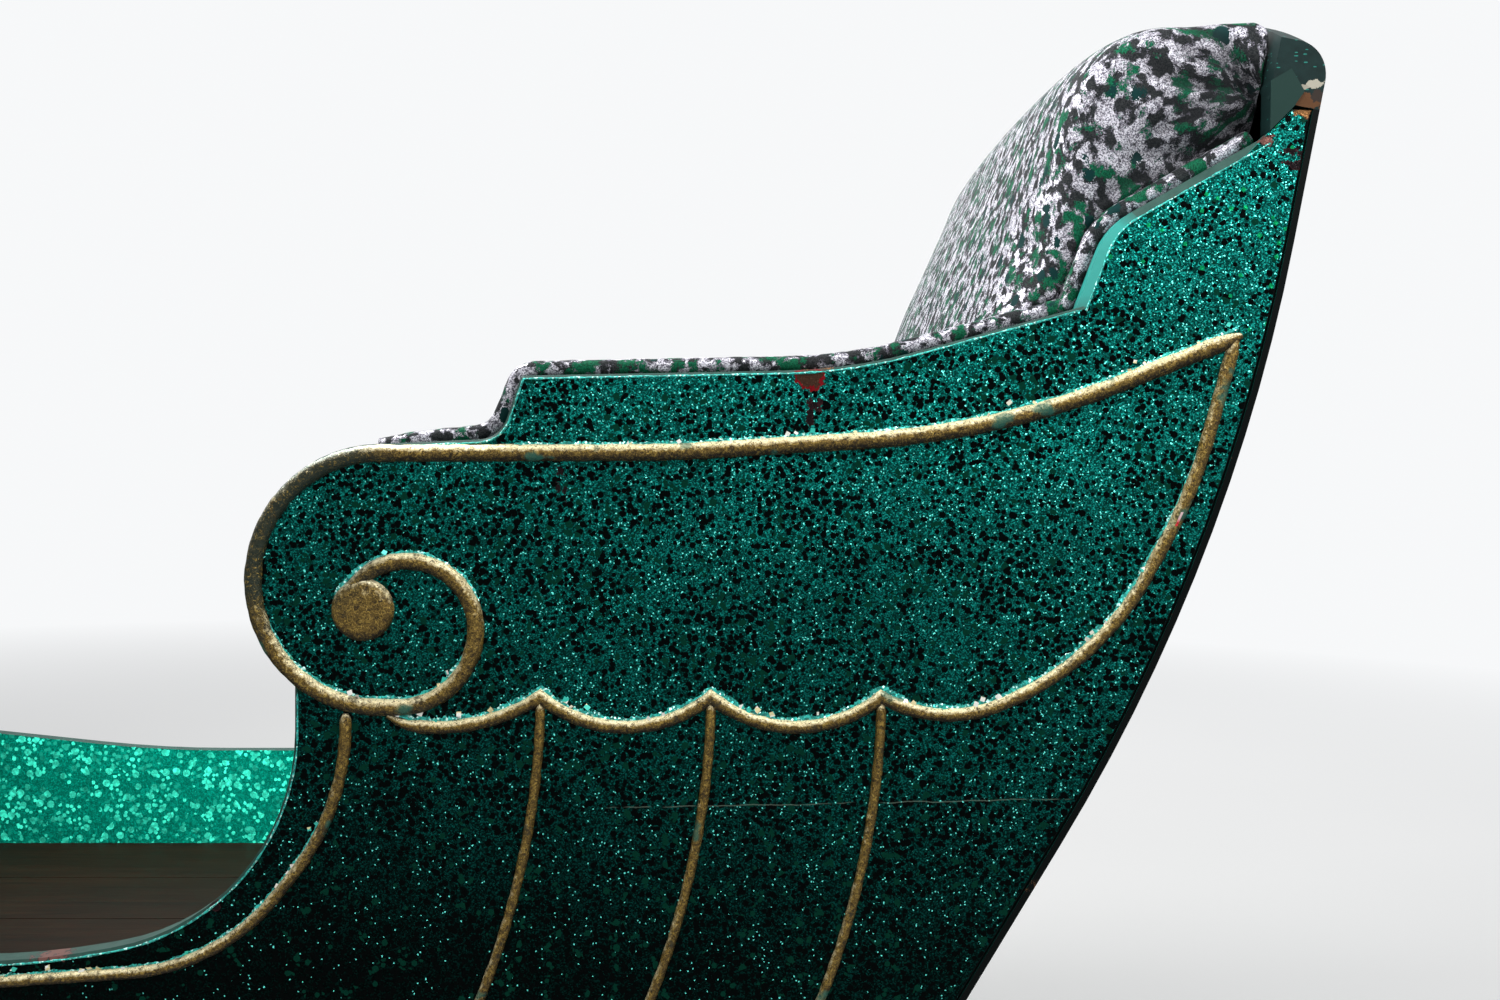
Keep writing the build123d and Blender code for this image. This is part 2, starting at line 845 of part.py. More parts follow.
for side, sign in sides:
    with BuildPart() as shaft:
        # Sections along the shaft: distance, width, height
        for along, width, height in (
            (shaft_start, shaft_width, shaft_height),
            (crossbar_at + crossbar_width, shaft_width, shaft_height),
            (shaft_length, tip_size, tip_size),
        ):
            with BuildSketch(shaft_plane(along, sign * shaft_y(along))):
                RectangleRounded(width, height, min(width, height) * 0.3)
        loft(ruled=True)
    finish(shaft, f"shaft_{side}")

with BuildPart() as shaft_eyes:
    for _, sign in sides:
        with BuildSketch(side_plane(sign * track_half + eye_width / 2)) as eye_sketch:
            with Locations((hinge_x, hinge_z)):
                Rectangle(2 * plate_half, 2 * plate_half)
            chamfer(eye_sketch.vertices(), plate_clip)
        extrude(amount=eye_width)
        with BuildSketch(shaft_plane(0, sign * track_half)):
            Rectangle(eye_width - 4, shaft_height - 12)
        extrude(amount=shaft_start)
    for _, sign in sides:
        with BuildSketch(side_plane(sign * track_half + eye_width / 2)):
            with Locations((hinge_x, hinge_z)):
                Circle(pin_radius + pin_clearance)
        extrude(amount=eye_width, mode=Mode.SUBTRACT)
finish(shaft_eyes, "shaft_eyes")

crossbar_half = shaft_y(crossbar_at) + crossbar_overhang
crossbar_under = shaft_height / 2
with BuildPart() as crossbar:
    with BuildSketch(shaft_top_plane(crossbar_at, crossbar_under)):
        Rectangle(crossbar_width, 2 * crossbar_half)
        Circle(bolt_radius + pin_clearance, mode=Mode.SUBTRACT)
    extrude(amount=crossbar_height)
finish(crossbar, "shaft_crossbar")

swingle_under = crossbar_under + crossbar_height + swingle_gap
with BuildPart() as swingletree:
    with BuildSketch(shaft_top_plane(crossbar_at, swingle_under)):
        with BuildLine():
            half = swingle_half
            wide = swingle_width / 2
            slim = swingle_end / 2
            front = ThreePointArc((slim, -half), (wide, 0), (slim, half))
            rear = ThreePointArc((-slim, -half), (-wide, 0), (-slim, half))
            band(front, rear)
        make_face()
        Circle(bolt_radius + pin_clearance, mode=Mode.SUBTRACT)
    extrude(amount=swingle_height)
finish(swingletree, "swingletree")

# Pivot bolt through crossbar and swingletree, with a square washer between them
swingle_top = swingle_under + swingle_height
with BuildPart() as swingle_bolt:
    with BuildSketch(shaft_top_plane(crossbar_at, crossbar_under - bolt_head)):
        Circle(bolt_radius)
    extrude(amount=swingle_top - crossbar_under + seat_gap + 2 * bolt_head)
    # Head, washer and nut along the bolt: bottom, top, sides
    for low, high, corners in (
        (crossbar_under - bolt_head, crossbar_under, 4),
        (swingle_under - swingle_gap, swingle_under - seat_gap, 4),
        (swingle_top + seat_gap, swingle_top + seat_gap + bolt_head, 6),
    ):
        with BuildSketch(shaft_top_plane(crossbar_at, low)):
            RegularPolygon(bolt_head_radius, corners)
        extrude(amount=high - low)
finish(swingle_bolt, "swingle_bolt")

with BuildPart() as trace_eyes:
    eye_under = swingle_under + (swingle_height - hook_thickness) / 2
    for _, sign in sides:
        with BuildSketch(shaft_top_plane(crossbar_at, eye_under)):
            with Locations((0, sign * (swingle_half + hook_radius + 4))):
                Circle(hook_radius)
                Circle(hook_hole, mode=Mode.SUBTRACT)
            with Locations((0, sign * (swingle_half + 4))):
                Rectangle(swingle_end - 10, 8)
        extrude(amount=hook_thickness)
finish(trace_eyes, "trace_eyes")
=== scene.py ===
import bmesh
import bpy
import json
import math
import numpy as np
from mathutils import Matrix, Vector


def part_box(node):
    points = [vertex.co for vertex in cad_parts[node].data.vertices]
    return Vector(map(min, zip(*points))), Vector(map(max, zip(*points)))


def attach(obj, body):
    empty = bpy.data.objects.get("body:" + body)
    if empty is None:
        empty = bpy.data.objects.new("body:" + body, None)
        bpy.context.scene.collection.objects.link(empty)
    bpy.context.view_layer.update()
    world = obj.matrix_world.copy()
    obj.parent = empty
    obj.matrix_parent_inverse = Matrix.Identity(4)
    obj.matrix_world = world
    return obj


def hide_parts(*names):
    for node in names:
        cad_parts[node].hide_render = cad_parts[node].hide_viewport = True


# A horse drawn sleigh for two: glitter-painted scrolled boards with gilt beads, a crowned
# brocade seat, wooden runners with iron shoes, and hinged shafts with a swingletree.
# Lengths in drawings are millimetres from the middle of the seat, heights from the ground.

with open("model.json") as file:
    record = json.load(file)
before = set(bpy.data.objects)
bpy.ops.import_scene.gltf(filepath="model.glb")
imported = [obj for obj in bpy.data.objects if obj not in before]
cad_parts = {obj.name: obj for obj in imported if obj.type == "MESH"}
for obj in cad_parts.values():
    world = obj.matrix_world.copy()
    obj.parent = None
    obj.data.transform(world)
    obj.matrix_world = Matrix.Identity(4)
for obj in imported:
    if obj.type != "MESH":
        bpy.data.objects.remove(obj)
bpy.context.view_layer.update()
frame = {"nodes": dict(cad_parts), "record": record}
scene = bpy.context.scene
nodes = frame["nodes"]
print("loaded", len(nodes), "solids")

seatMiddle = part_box("side_board_left")[1].x - 0.524  # world x of the drawings' zero
boardFace = 0.499  # outer face of a side board, |y|
mm = 0.001
fullTurn = 2 * math.pi
sides = (("left", -1), ("right", 1))


def cleanNormals(piece):
    work = bmesh.new()
    work.from_mesh(piece.data)
    bmesh.ops.remove_doubles(work, verts=work.verts, dist=1e-6)
    bmesh.ops.recalc_face_normals(work, faces=work.faces)
    work.to_mesh(piece.data)
    work.free()
    piece.data.update()


def addMesh(name, points, faces, smooth=True, clean=True):
    mesh = bpy.data.meshes.new(name)
    points = np.asarray(points, float).reshape(-1, 3)
    mesh.from_pydata(points.tolist(), [], [list(map(int, face)) for face in faces])
    mesh.polygons.foreach_set("use_smooth", np.full(len(mesh.polygons), smooth))
    mesh.update()
    piece = bpy.data.objects.new(name, mesh)
    scene.collection.objects.link(piece)
    if clean:
        cleanNormals(piece)
    return piece


def dress(piece, finish, body="root"):
    piece.data.materials.clear()
    piece.data.materials.append(finish)
    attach(piece, body)
    return piece


def placed(x, y, z):
    # Drawing lengths x and z and a world y as points of the world
    return np.stack(np.broadcast_arrays(seatMiddle + x * mm, y, z * mm), -1)


def gridFaces(rows, columns, closeRows=False, closeColumns=True, start=0):
    # Quads of a grid of rows × columns points, wrapped round where a side is closed
    r = np.arange(rows if closeRows else rows - 1)
    c = np.arange(columns if closeColumns else columns - 1)
    r, c = (part.ravel() for part in np.meshgrid(r, c, indexing="ij"))
    rNext, cNext = (r + 1) % rows, (c + 1) % columns
    quad = np.stack([r * columns + c, rNext * columns + c, rNext * columns + cNext, r * columns + cNext], 1)
    return quad + start


def cappedFaces(rows, columns, start=0, closeColumns=True):
    # The same quads, with a face over each end
    last = start + (rows - 1) * columns
    caps = [list(range(start, start + columns)), [last + i for i in reversed(range(columns))]]
    return gridFaces(rows, columns, False, closeColumns, start).tolist() + caps


def lengthAlong(points):
    return np.concatenate([[0], np.cumsum(np.hypot(*np.diff(points, axis=0).T))])


def sampled(points, along, at):
    return np.stack([np.interp(at, along, points[:, i]) for i in (0, 1)], 1)


def leftOf(ahead):
    # Unit normals to the left of directions in the board's plane
    ahead = ahead / np.hypot(*ahead.T)[:, None]
    return np.stack([-ahead[:, 1], ahead[:, 0]], 1)


def spread(points, step):
    # The same line with points no farther apart than a step
    gaps = np.hypot(*np.diff(points, axis=0).T)
    points = points[np.concatenate([[True], gaps > 1e-6])]
    along = lengthAlong(points)
    at = np.unique(np.concatenate([along, np.arange(0, along[-1], step)]).round(4))
    at = at[np.concatenate([[True], np.diff(at) > 0.25 * step])] if len(at) > 2 else at
    at[-1] = along[-1]
    return sampled(points, along, at)


def roundedLine(corners, step=4.0):
    # Straight runs joined by arcs: each corner (x, z, radius) is cut back on both sides by
    # radius·tan(turn/2), and an arc of that radius turns from one run to the next
    out = [np.array([corners[0][:2]])]
    for (ax, az, _), (bx, bz, r), (cx, cz, _) in zip(corners, corners[1:], corners[2:]):
        inward = np.array([bx - ax, bz - az]) / math.hypot(bx - ax, bz - az)
        onward = np.array([cx - bx, cz - bz]) / math.hypot(cx - bx, cz - bz)
        turn = math.atan2(inward[0] * onward[1] - inward[1] * onward[0], inward @ onward)
        begin = np.array([bx, bz]) - inward * (r * math.tan(abs(turn) / 2))
        centre = begin + np.array([-inward[1], inward[0]]) * (1 if turn > 0 else -1) * r
        angle = np.linspace(0, turn, max(int(abs(turn) * r / step), 2) + 1)
        arm = begin - centre
        out.append(centre + np.stack([arm[0] * np.cos(angle) - arm[1] * np.sin(angle),
                                      arm[0] * np.sin(angle) + arm[1] * np.cos(angle)], 1))
    out.append(np.array([corners[-1][:2]]))
    return spread(np.concatenate(out), step)


def between(value, low, high):
    # How far a value has come from low to high, from 0 to 1
    return np.clip((value - low) / (high - low), 0, 1)


def circlePoints(x, z, radius, angle):
    return np.stack([x + radius * np.cos(angle), z + radius * np.sin(angle)], 1)


def arcLine(x, z, radius, start, turn, step=3.0):
    count = max(int(abs(math.radians(turn)) * radius / step), 4)
    return circlePoints(x, z, radius, np.radians(np.linspace(start, start + turn, count)))


def threePointArc(a, b, c, step=3.0):
    # Circle through three points: the centre is as far from each of them
    (ax, az), (bx, bz), (cx, cz) = a, b, c
    m = 2 * np.array([[bx - ax, bz - az], [cx - ax, cz - az]])
    v = np.array([bx**2 - ax**2 + bz**2 - az**2, cx**2 - ax**2 + cz**2 - az**2])
    ox, oz = np.linalg.solve(m, v)
    r = math.hypot(ax - ox, az - oz)
    angles = [math.atan2(z - oz, x - ox) for x, z in (a, b, c)]
    total = (angles[2] - angles[0]) % fullTurn
    if (angles[1] - angles[0]) % fullTurn > total:
        total -= fullTurn
    return circlePoints(ox, oz, r, angles[0] + np.linspace(0, total, max(int(abs(total) * r / step), 6)))


def waves(s, seed, lengths=(23.0, 37.0, 61.0, 11.0), powers=(0.35, 0.3, 0.25, 0.18)):
    # A slow uneven swell along a length: a few sine waves with fixed chance phases
    phase = np.random.default_rng(seed).uniform(0, 6.283, len(lengths))
    return sum(p * np.sin(fullTurn * s / l + f) for l, p, f in zip(lengths, powers, phase))


class Value:
    # What a node puts out: arithmetic and comparisons with it add Math nodes
    def __init__(self, paint, socket):
        self.paint, self.socket = paint, socket

    def __add__(self, other):
        return self.paint.math("ADD", self, other)

    def __sub__(self, other):
        return self.paint.math("SUBTRACT", self, other)

    def __rsub__(self, other):
        return self.paint.math("SUBTRACT", other, self)

    def __mul__(self, other):
        return self.paint.math("MULTIPLY", self, other)

    def __truediv__(self, other):
        return self.paint.math("DIVIDE", self, other)

    def __pow__(self, other):
        return self.paint.math("POWER", self, other)

    def __gt__(self, other):
        return self.paint.math("GREATER_THAN", self, other)

    def __lt__(self, other):
        return self.paint.math("LESS_THAN", self, other)

    def __abs__(self):
        return self.paint.math("ABSOLUTE", self)


class Paint:
    # A node material, or the world's nodes, with short ways to add and link nodes
    def __init__(self, name, world=None):
        self.owner = world or bpy.data.materials.new(name)
        self.owner.use_nodes = True
        self.tree = self.owner.node_tree
        self.shader = self.tree.nodes["Background" if world else "Principled BSDF"]
        if not world:
            self.coord = self.parts("TexCoord")["Object"]

    def add(self, kind, out=0, settings=None, **inputs):
        node = self.tree.nodes.new("ShaderNode" + kind)
        for key, value in (settings or {}).items():
            setattr(node, key, value)
        for key, value in inputs.items():
            # i0, i1 and so on are inputs by number, others by name
            self.put(node.inputs[int(key[1:]) if key[1:].isdigit() else key], value)
        return Value(self, node.outputs[out])

    def parts(self, kind, settings=None, **inputs):
        # All that a new node puts out, by name
        outputs = self.add(kind, 0, settings, **inputs).socket.node.outputs
        return {socket.name: Value(self, socket) for socket in outputs}

    def put(self, socket, value):
        if isinstance(value, Value):
            self.tree.links.new(value.socket, socket)
        else:
            socket.default_value = value

    def set(self, **values):
        for key, value in values.items():
            self.put(self.shader.inputs[key.replace("_", " ")], value)
        return self.owner

    def math(self, operation, a, b=0.0, c=0.0, clamp=False):
        return self.add("Math", settings={"operation": operation, "use_clamp": clamp}, i0=a, i1=b, i2=c)

    def distance(self, a, b):
        return self.math("SQRT", a * a + b * b)

    def vector(self, operation, a, b=(0, 0, 0), out=0):
        return self.add("VectorMath", out, {"operation": operation}, i0=a, i1=b)

    def scaled(self, a, size):
        return self.add("VectorMath", 0, {"operation": "SCALE"}, i0=a, Scale=size)

    def stretched(self, scale):
        return self.vector("MULTIPLY", self.coord, scale)

    def mix(self, factor, a, b, kind="RGBA"):
        first, out = (6, 2) if kind == "RGBA" else (2, 0)
        return self.add("Mix", out, {"data_type": kind}, **{"i0": factor, f"i{first}": a, f"i{first + 1}": b})

    def ramp(self, value, low, high, fromValue=0.0, toValue=1.0):
        return self.add("MapRange", settings={"clamp": True}, i0=value, i1=low, i2=high, i3=fromValue, i4=toValue)

    def noise(self, size, detail=3.0, roughness=0.5, at=None, out=0, distortion=0.0):
        # size is the pattern's length in metres
        return self.add("TexNoise", out, Vector=at or self.coord, Scale=1 / size, Detail=detail,
                        Roughness=roughness, Distortion=distortion)

    def cells(self, size, at=None, dimensions="3D"):
        # Cells scattered by chance, and three chance numbers for each
        cells = self.parts("TexVoronoi", {"voronoi_dimensions": dimensions, "feature": "F1"},
                           Vector=at or self.coord, Scale=1 / size)
        return cells, tuple(self.parts("SeparateColor", Color=cells["Color"]).values())

    def split(self, vector):
        return tuple(self.parts("SeparateXYZ", Vector=vector).values())

    def facing(self):
        return self.split(self.add("NewGeometry", 1))

    def tilted(self, chance, amount):
        # The surface's normal, pushed over by a chance vector
        tilt = self.scaled(self.vector("SUBTRACT", chance, (0.5, 0.5, 0.5)), amount)
        return self.vector("NORMALIZE", self.vector("ADD", self.add("NewGeometry", 1), tilt))

    def spot(self, x, z, chip):
        # How far a place lies from a chip's middle, where 1 is the rim of its ellipse
        chipX, chipZ, wide, high = chip
        return self.distance((x - (seatMiddle + chipX * mm)) / (wide * mm), (z - chipZ * mm) / (high * mm))

    def bump(self, height, distance, strength=1.0, normal=None):
        inputs = {"Height": height, "Distance": distance, "Strength": strength}
        if normal:
            inputs["Normal"] = normal
        return self.add("Bump", **inputs)


def rgb(r, g, b):
    return (r, g, b, 1.0)


def tinted(colour, amount):
    return rgb(*(part * amount for part in colour[:3]))


# Chips in the near board: x, z, half width, half height, and what shows: inside and round it
chipColours = {
    "wood": (rgb(0.045, 0.022, 0.014), rgb(0.16, 0.006, 0.009)),
    "brown": (rgb(0.010, 0.007, 0.008), rgb(0.030, 0.010, 0.012)),
    "pink": (rgb(0.13, 0.060, 0.050), rgb(0.04, 0.020, 0.018)),
    "bare": (rgb(0.17, 0.080, 0.030), rgb(0.06, 0.030, 0.018)),
}
boardChips = [
    (56, 1053, 14, 12, "wood"), (57, 1061, 13, 3, "bare"), (60, 1026, 9, 5, "brown"),
    (56, 1019, 4, 9, "brown"), (482, 1273, 6, 6, "pink"), (511, 1251, 12, 5, "brown"),
    (502, 1262, 8, 3, "brown"), (515, 1299, 9, 5, "bare"), (-654, 513, 16, 4, "pink"),
    (-497, 560, 6, 6, "brown"), (-178, 952, 1.5, 9, "brown"), (-172, 944, 1.2, 8, "brown"),
    (-1330, 700, 10, 16, "wood"), (-1010, 300, 22, 6, "bare"), (150, 300, 20, 6, "wood"),
]


def glitterPaint():
    # Deep emerald paint full of fine flakes that each lie at their own angle, with black
    # hexagonal flecks scattered over it; plain dull green paint on the boards' edges
    s = {
        "flake": 1.1 * mm, "fleckPitch": 9.0 * mm, "fleckRadius": 3.0 * mm,
        "smallPitch": 6.4 * mm, "smallRadius": 2.1 * mm, "squarePitch": 15 * mm, "squareSize": 2.0 * mm,
        "coarsePitch": 17 * mm, "coarseSize": 5.6 * mm,
        # low and lowBright: the ground and bright flakes in painted shade low down; high and highBright: the same in
        # painted light up the wing
        "low": rgb(0.0001, 0.0008, 0.0007), "high": rgb(0.0008, 0.031, 0.025),
        "lowBright": rgb(0.0005, 0.011, 0.0088), "highBright": rgb(0.0095, 0.390, 0.328),
        "paintedGlint": rgb(0.16, 0.92, 0.80), "fleck": rgb(0.0002, 0.0012, 0.0011),
        "fleckGreen": rgb(0.0008, 0.030, 0.018), "square": rgb(0.002, 0.22, 0.075),
        # innerDeep, innerMid and innerBright: the inner faces' colours, made bright as painted light
        "innerDeep": rgb(0.001, 0.21, 0.140), "innerMid": rgb(0.002, 0.36, 0.25),
        "innerBright": rgb(0.06, 1.0, 0.70), "rear": rgb(0.0012, 0.0024, 0.0022),
        "paintedEdgeReflection": rgb(0.020, 0.23, 0.20), "edge": rgb(0.030, 0.076, 0.062),
        "edgeDark": rgb(0.012, 0.042, 0.034), "edgeWorn": rgb(0.06, 0.035, 0.02), "crack": rgb(0.16, 0.22, 0.17),
    }
    p = Paint("glitterPaint")
    x, y, z = p.split(p.coord)
    flat = p.add("CombineXYZ", X=x, Y=z)
    flakes, chance = p.cells(s["flake"], flat, "2D")
    # Painted light and shade: the paint and its flakes are darker low down and towards the front, and brighter up the
    # arm and the wing, as the light falls there
    lift = p.math("ADD", p.ramp(z, 0.50, 1.08), p.ramp(x, seatMiddle - 0.4, seatMiddle + 0.45) * 0.22, clamp=True)
    ground = p.mix(lift**1.5, s["low"], s["high"])
    light = chance[0] ** 3.4
    colour = p.mix(light, ground, p.mix(lift**1.4, s["lowBright"], s["highBright"]))
    # Painted glints: a chance few flakes are coloured as bright sparkles, more of them where the painted light is
    colour = p.mix(chance[2] > p.ramp(lift, 0.0, 1.0, 0.994, 0.975), colour, s["paintedGlint"])
    colour = p.mix(p.ramp(p.noise(0.13, 4.0), 0.35, 0.75, 0.0, 0.35), colour, p.mix(0.5, s["low"], ground))

    def flecks(pitch, radius, share, corners=3):
        # Each cell of a chance pattern holds one flat shape at its own turn: a point is inside
        # where the widest of its distances along the shape's axes is under the radius
        cells, own = p.cells(pitch, flat, "2D")
        turned = p.add("VectorRotate", settings={"rotation_type": "Z_AXIS"}, Angle=own[0] * 6.283,
                       Vector=p.vector("SUBTRACT", flat, cells["Position"]))
        reach = 0.0
        for i in range(corners):
            axis = (math.cos(math.pi * i / corners), math.sin(math.pi * i / corners), 0)
            reach = p.math("MAXIMUM", reach, abs(p.vector("DOT_PRODUCT", turned, axis, out=1)))
        size = p.math("MULTIPLY_ADD", own[1], 0.35 * radius, 0.72 * radius)
        return (reach < size) * (own[2] < share), own

    crowd = p.ramp(p.noise(0.06, 2.5), 0.36, 0.62)
    sparse = p.ramp(z + x * 0.4, seatMiddle * 0.4 + 1.20, seatMiddle * 0.4 + 1.34, 1.0, 0.45)
    big, bigOwn = flecks(s["fleckPitch"], s["fleckRadius"], sparse * p.math("MULTIPLY_ADD", crowd, 0.75, 0.14))
    small, _ = flecks(s["smallPitch"], s["smallRadius"], sparse * p.math("MULTIPLY_ADD", crowd, 0.5, 0.35))
    dark = p.math("MAXIMUM", big, small)
    colour = p.mix(dark, colour, p.mix(bigOwn[0] > 0.84, s["fleck"], s["fleckGreen"]))
    # Square green flakes near the wing's top and rear edge
    corner = p.ramp(z * 1.6 + x, seatMiddle + 2.15, seatMiddle + 2.6, 0.0, 0.5)
    colour = p.mix(flecks(s["squarePitch"], s["squareSize"], corner, 2)[0], colour, s["square"])
    # Painted light inside: the boards' inner faces are coloured far brighter than the outer ones, as lit faces, with
    # coarser bright flakes on a bright green ground
    coarse, coarseOwn = flecks(s["coarsePitch"], s["coarseSize"], 0.6, 4)
    mint = p.mix(coarseOwn[1], s["innerDeep"], s["innerBright"])
    clean = p.mix(light, s["innerDeep"], s["innerMid"])
    colour = p.mix(abs(y) < 0.480, colour, p.mix(p.math("MAXIMUM", big, coarse), clean, mint))

    ahead, across, _ = p.facing()
    onFace = p.ramp(abs(across), 0.86, 0.93)
    edge = p.mix(p.ramp(p.noise(0.02, 6.0, 0.65), 0.3, 0.7), s["edge"], s["edgeDark"])
    edge = p.mix(p.ramp(p.noise(0.009, 5.0, 0.7), 0.66, 0.70) * 0.8, edge, s["edgeWorn"])
    # Painted reflection: edges high on the wing that face forward are coloured pale teal
    edge = p.mix(p.ramp(ahead, -0.5, -0.35, 1.0, 0.0) * p.ramp(z, 1.10, 1.13), edge, s["paintedEdgeReflection"])
    # Painted shade: edges that face rearwards are coloured near black
    edge = p.mix(p.ramp(ahead, 0.25, 0.45), edge, s["rear"])
    colour = p.mix(onFace, edge, colour)

    # Wear: chips through to red undercoat and bare wood, and a hairline crack along a joint
    near = y < 0.0
    rag = (p.noise(0.007, 4.0, 0.6) - 0.5) * 0.016
    for *chip, kind in boardChips:
        reach = p.spot(x, z, chip) + rag * (1.1 / (min(chip[2:]) * mm))
        inside, rim = chipColours[kind]
        for limit, paint in ((1.0, rim), (0.78, inside)):
            colour = p.mix((reach < limit) * near, colour, paint)
    wander = (p.noise(0.05, 5.0, 0.6, at=p.stretched((1, 0, 0))) - 0.5) * 0.009
    joint = z - p.ramp(x, seatMiddle - 0.13, seatMiddle + 0.33, 0.6517, 0.6610) - wander
    broken = p.ramp(x, seatMiddle - 0.135, seatMiddle - 0.125) * p.ramp(p.noise(0.03, 2.0), 0.38, 0.46)
    crack = (abs(joint) < 0.0005) * broken * near
    colour = p.mix(crack * 0.4, colour, s["crack"])

    normal = p.tilted(flakes["Color"], onFace * p.mix(dark, 0.55, 0.2, "FLOAT"))
    return p.set(Base_Color=colour, Metallic=p.mix(onFace, 0.0, p.mix(dark, 0.5, 0.0, "FLOAT"), "FLOAT"),
                 Roughness=p.mix(onFace, 0.5, p.mix(dark, 0.36, 0.4, "FLOAT"), "FLOAT"),
                 Specular_IOR_Level=p.mix(onFace, 0.12, 0.02, "FLOAT"),
                 Normal=p.bump(dark * 0.5 + p.noise(0.004, 2.0) - crack, 0.0003, 0.35, normal))


def giltPaint():
    # Antique gold brushed on: crinkled, dark in the hollows, green-black where it is worn,
    # with some of the board's green spilt over its edges
    s = {
        # under, body and top: the gold in painted shade, between, and in painted light; the strokes are painted
        # highlights
        "under": rgb(0.008, 0.0052, 0.002), "body": rgb(0.150, 0.091, 0.015), "top": rgb(1.0, 0.86, 0.50),
        "highlightStroke": rgb(1.0, 0.93, 0.66), "dimHighlightStroke": rgb(0.50, 0.34, 0.070), "hollow": rgb(0.012, 0.008, 0.003),
        "worn": rgb(0.026, 0.024, 0.013), "spill": rgb(0.010, 0.12, 0.09), "ground": rgb(0.010, 0.021, 0.015),
        "silver": rgb(0.42, 0.50, 0.46), "red": rgb(0.50, 0.02, 0.03), "pink": rgb(0.62, 0.45, 0.45),
        # Places in the drawing: the scroll's bow, and the nick with its half width, half height and lean
        "bow": (-443.0, 937.0), "nick": (397.5, 920.6, 1.2, 6.5, 0.44),
    }
    p = Paint("giltPaint")
    x, y, z = p.split(p.coord)
    lumps = p.noise(0.005, 4.0, 0.6)
    crinkle = p.noise(0.0028, 3.0, 0.7, distortion=1.4)
    # Painted light and shade: pale where it faces up, as lit from above, and dark where it faces down, as in shade; the
    # crinkles' bright strokes are painted highlights, paler where it faces up
    up = p.facing()[2]
    shade = up + (lumps - 0.5) * 0.9
    colour = p.mix(p.ramp(shade, -0.50, 0.16), s["under"], s["body"])
    colour = p.mix(p.ramp(shade, 0.16, 0.68), colour, s["top"])
    highlightStroke = p.mix(p.ramp(shade, 0.1, 0.6), s["dimHighlightStroke"], s["highlightStroke"])
    colour = p.mix(p.ramp(crinkle, 0.53, 0.62) * p.ramp(shade, -0.35, 0.5, 0.25, 0.95), colour, highlightStroke)
    colour = p.mix(p.ramp(crinkle, 0.47, 0.38, 0.0, 0.9), colour, s["hollow"])
    colour = p.mix(p.ramp(p.noise(0.03, 6.0, 0.7), 0.60, 0.67) * 0.8, colour, s["worn"])
    colour = p.mix(p.ramp(p.noise(0.05, 3.0), 0.62, 0.66) * 0.7, colour, s["spill"])
    # Rubbed to its dark ground on the scroll's bow, where hands take hold; where the rubbed part faces up, a pale
    # silver is a painted sheen
    reach = p.distance(x - (seatMiddle + s["bow"][0] * mm), z - s["bow"][1] * mm)
    rubbed = p.ramp(reach, 0.125, 0.085) * p.ramp(p.noise(0.011, 4.0, 0.7), 0.72, 0.57) * p.ramp(crinkle, 0.68, 0.58)
    colour = p.mix(rubbed * 0.88, colour, p.mix(p.ramp(up, 0.45, 0.85), s["ground"], s["silver"]))
    # A red nick on the near wing's bead
    nickX, nickZ, wide, high, lean = s["nick"]
    dz = z - nickZ * mm
    dx = x - (seatMiddle + nickX * mm) - dz * lean
    nick = (abs(dx) < wide * mm) * (abs(dz) < high * mm) * (y < 0.0)
    colour = p.mix(nick, colour, p.mix(p.ramp(dz, -0.003, 0.001), s["red"], s["pink"]))
    return p.set(Base_Color=colour, Metallic=0.42, Roughness=p.ramp(crinkle, 0.35, 0.7, 0.50, 0.24),
                 Specular_IOR_Level=0.3, Normal=p.bump(lumps + crinkle * 0.6, 0.0018, 0.9))


def driftPaint():
    # Loose bright glitter piled along the beads and the boards' arrises
    p = Paint("driftGlitter")
    cells, own = p.cells(0.0016)
    colour = p.mix(own[0], rgb(0.004, 0.13, 0.11), rgb(0.03, 0.56, 0.48))
    colour = p.mix(own[1] > 0.88, colour, rgb(0.55, 0.95, 0.88))
    return p.set(Base_Color=colour, Metallic=0.4, Roughness=0.32, Normal=p.tilted(cells["Color"], 0.7))


def flakePaint():
    # Square flakes, each its own shade from white through pale gold to teal
    p = Paint("looseFlakes")
    own = p.cells(0.011)[1]
    colour = p.mix(own[0] > 0.42, rgb(0.02, 0.50, 0.40), rgb(0.86, 0.86, 0.80))
    colour = p.mix(own[1] > 0.72, colour, rgb(0.75, 0.66, 0.36))
    return p.set(Base_Color=colour, Metallic=0.2, Roughness=0.3)


def darkPaint(name, base, lining=None, shadedEdges=None):
    # Dark green paint on wood, brushed, with bare wood showing through at small chips
    p = Paint(name)
    brush = p.noise(0.02, 4.0, at=p.stretched((1.0, 0.25, 1.0)))
    colour = p.mix(p.ramp(brush, 0.35, 0.7), base, tinted(base, 1.9))
    if lining:
        colour = p.mix(lining(p), colour, rgb(0.30, 0.20, 0.07))
    # Faces that look across the sleigh can take a colour of their own: near black is painted shade
    if shadedEdges:
        colour = p.mix(abs(p.facing()[1]) > 0.6, colour, shadedEdges)
    chips = p.ramp(p.noise(0.035, 9.0, 0.72), 0.655, 0.668)
    colour = p.mix(chips, colour, rgb(0.10, 0.055, 0.028))
    return p.set(Base_Color=colour, Roughness=p.mix(chips, 0.48, 0.75, "FLOAT"),
                 Normal=p.bump(brush * 0.3 - chips, 0.0004, 0.5), Specular_IOR_Level=0.06)


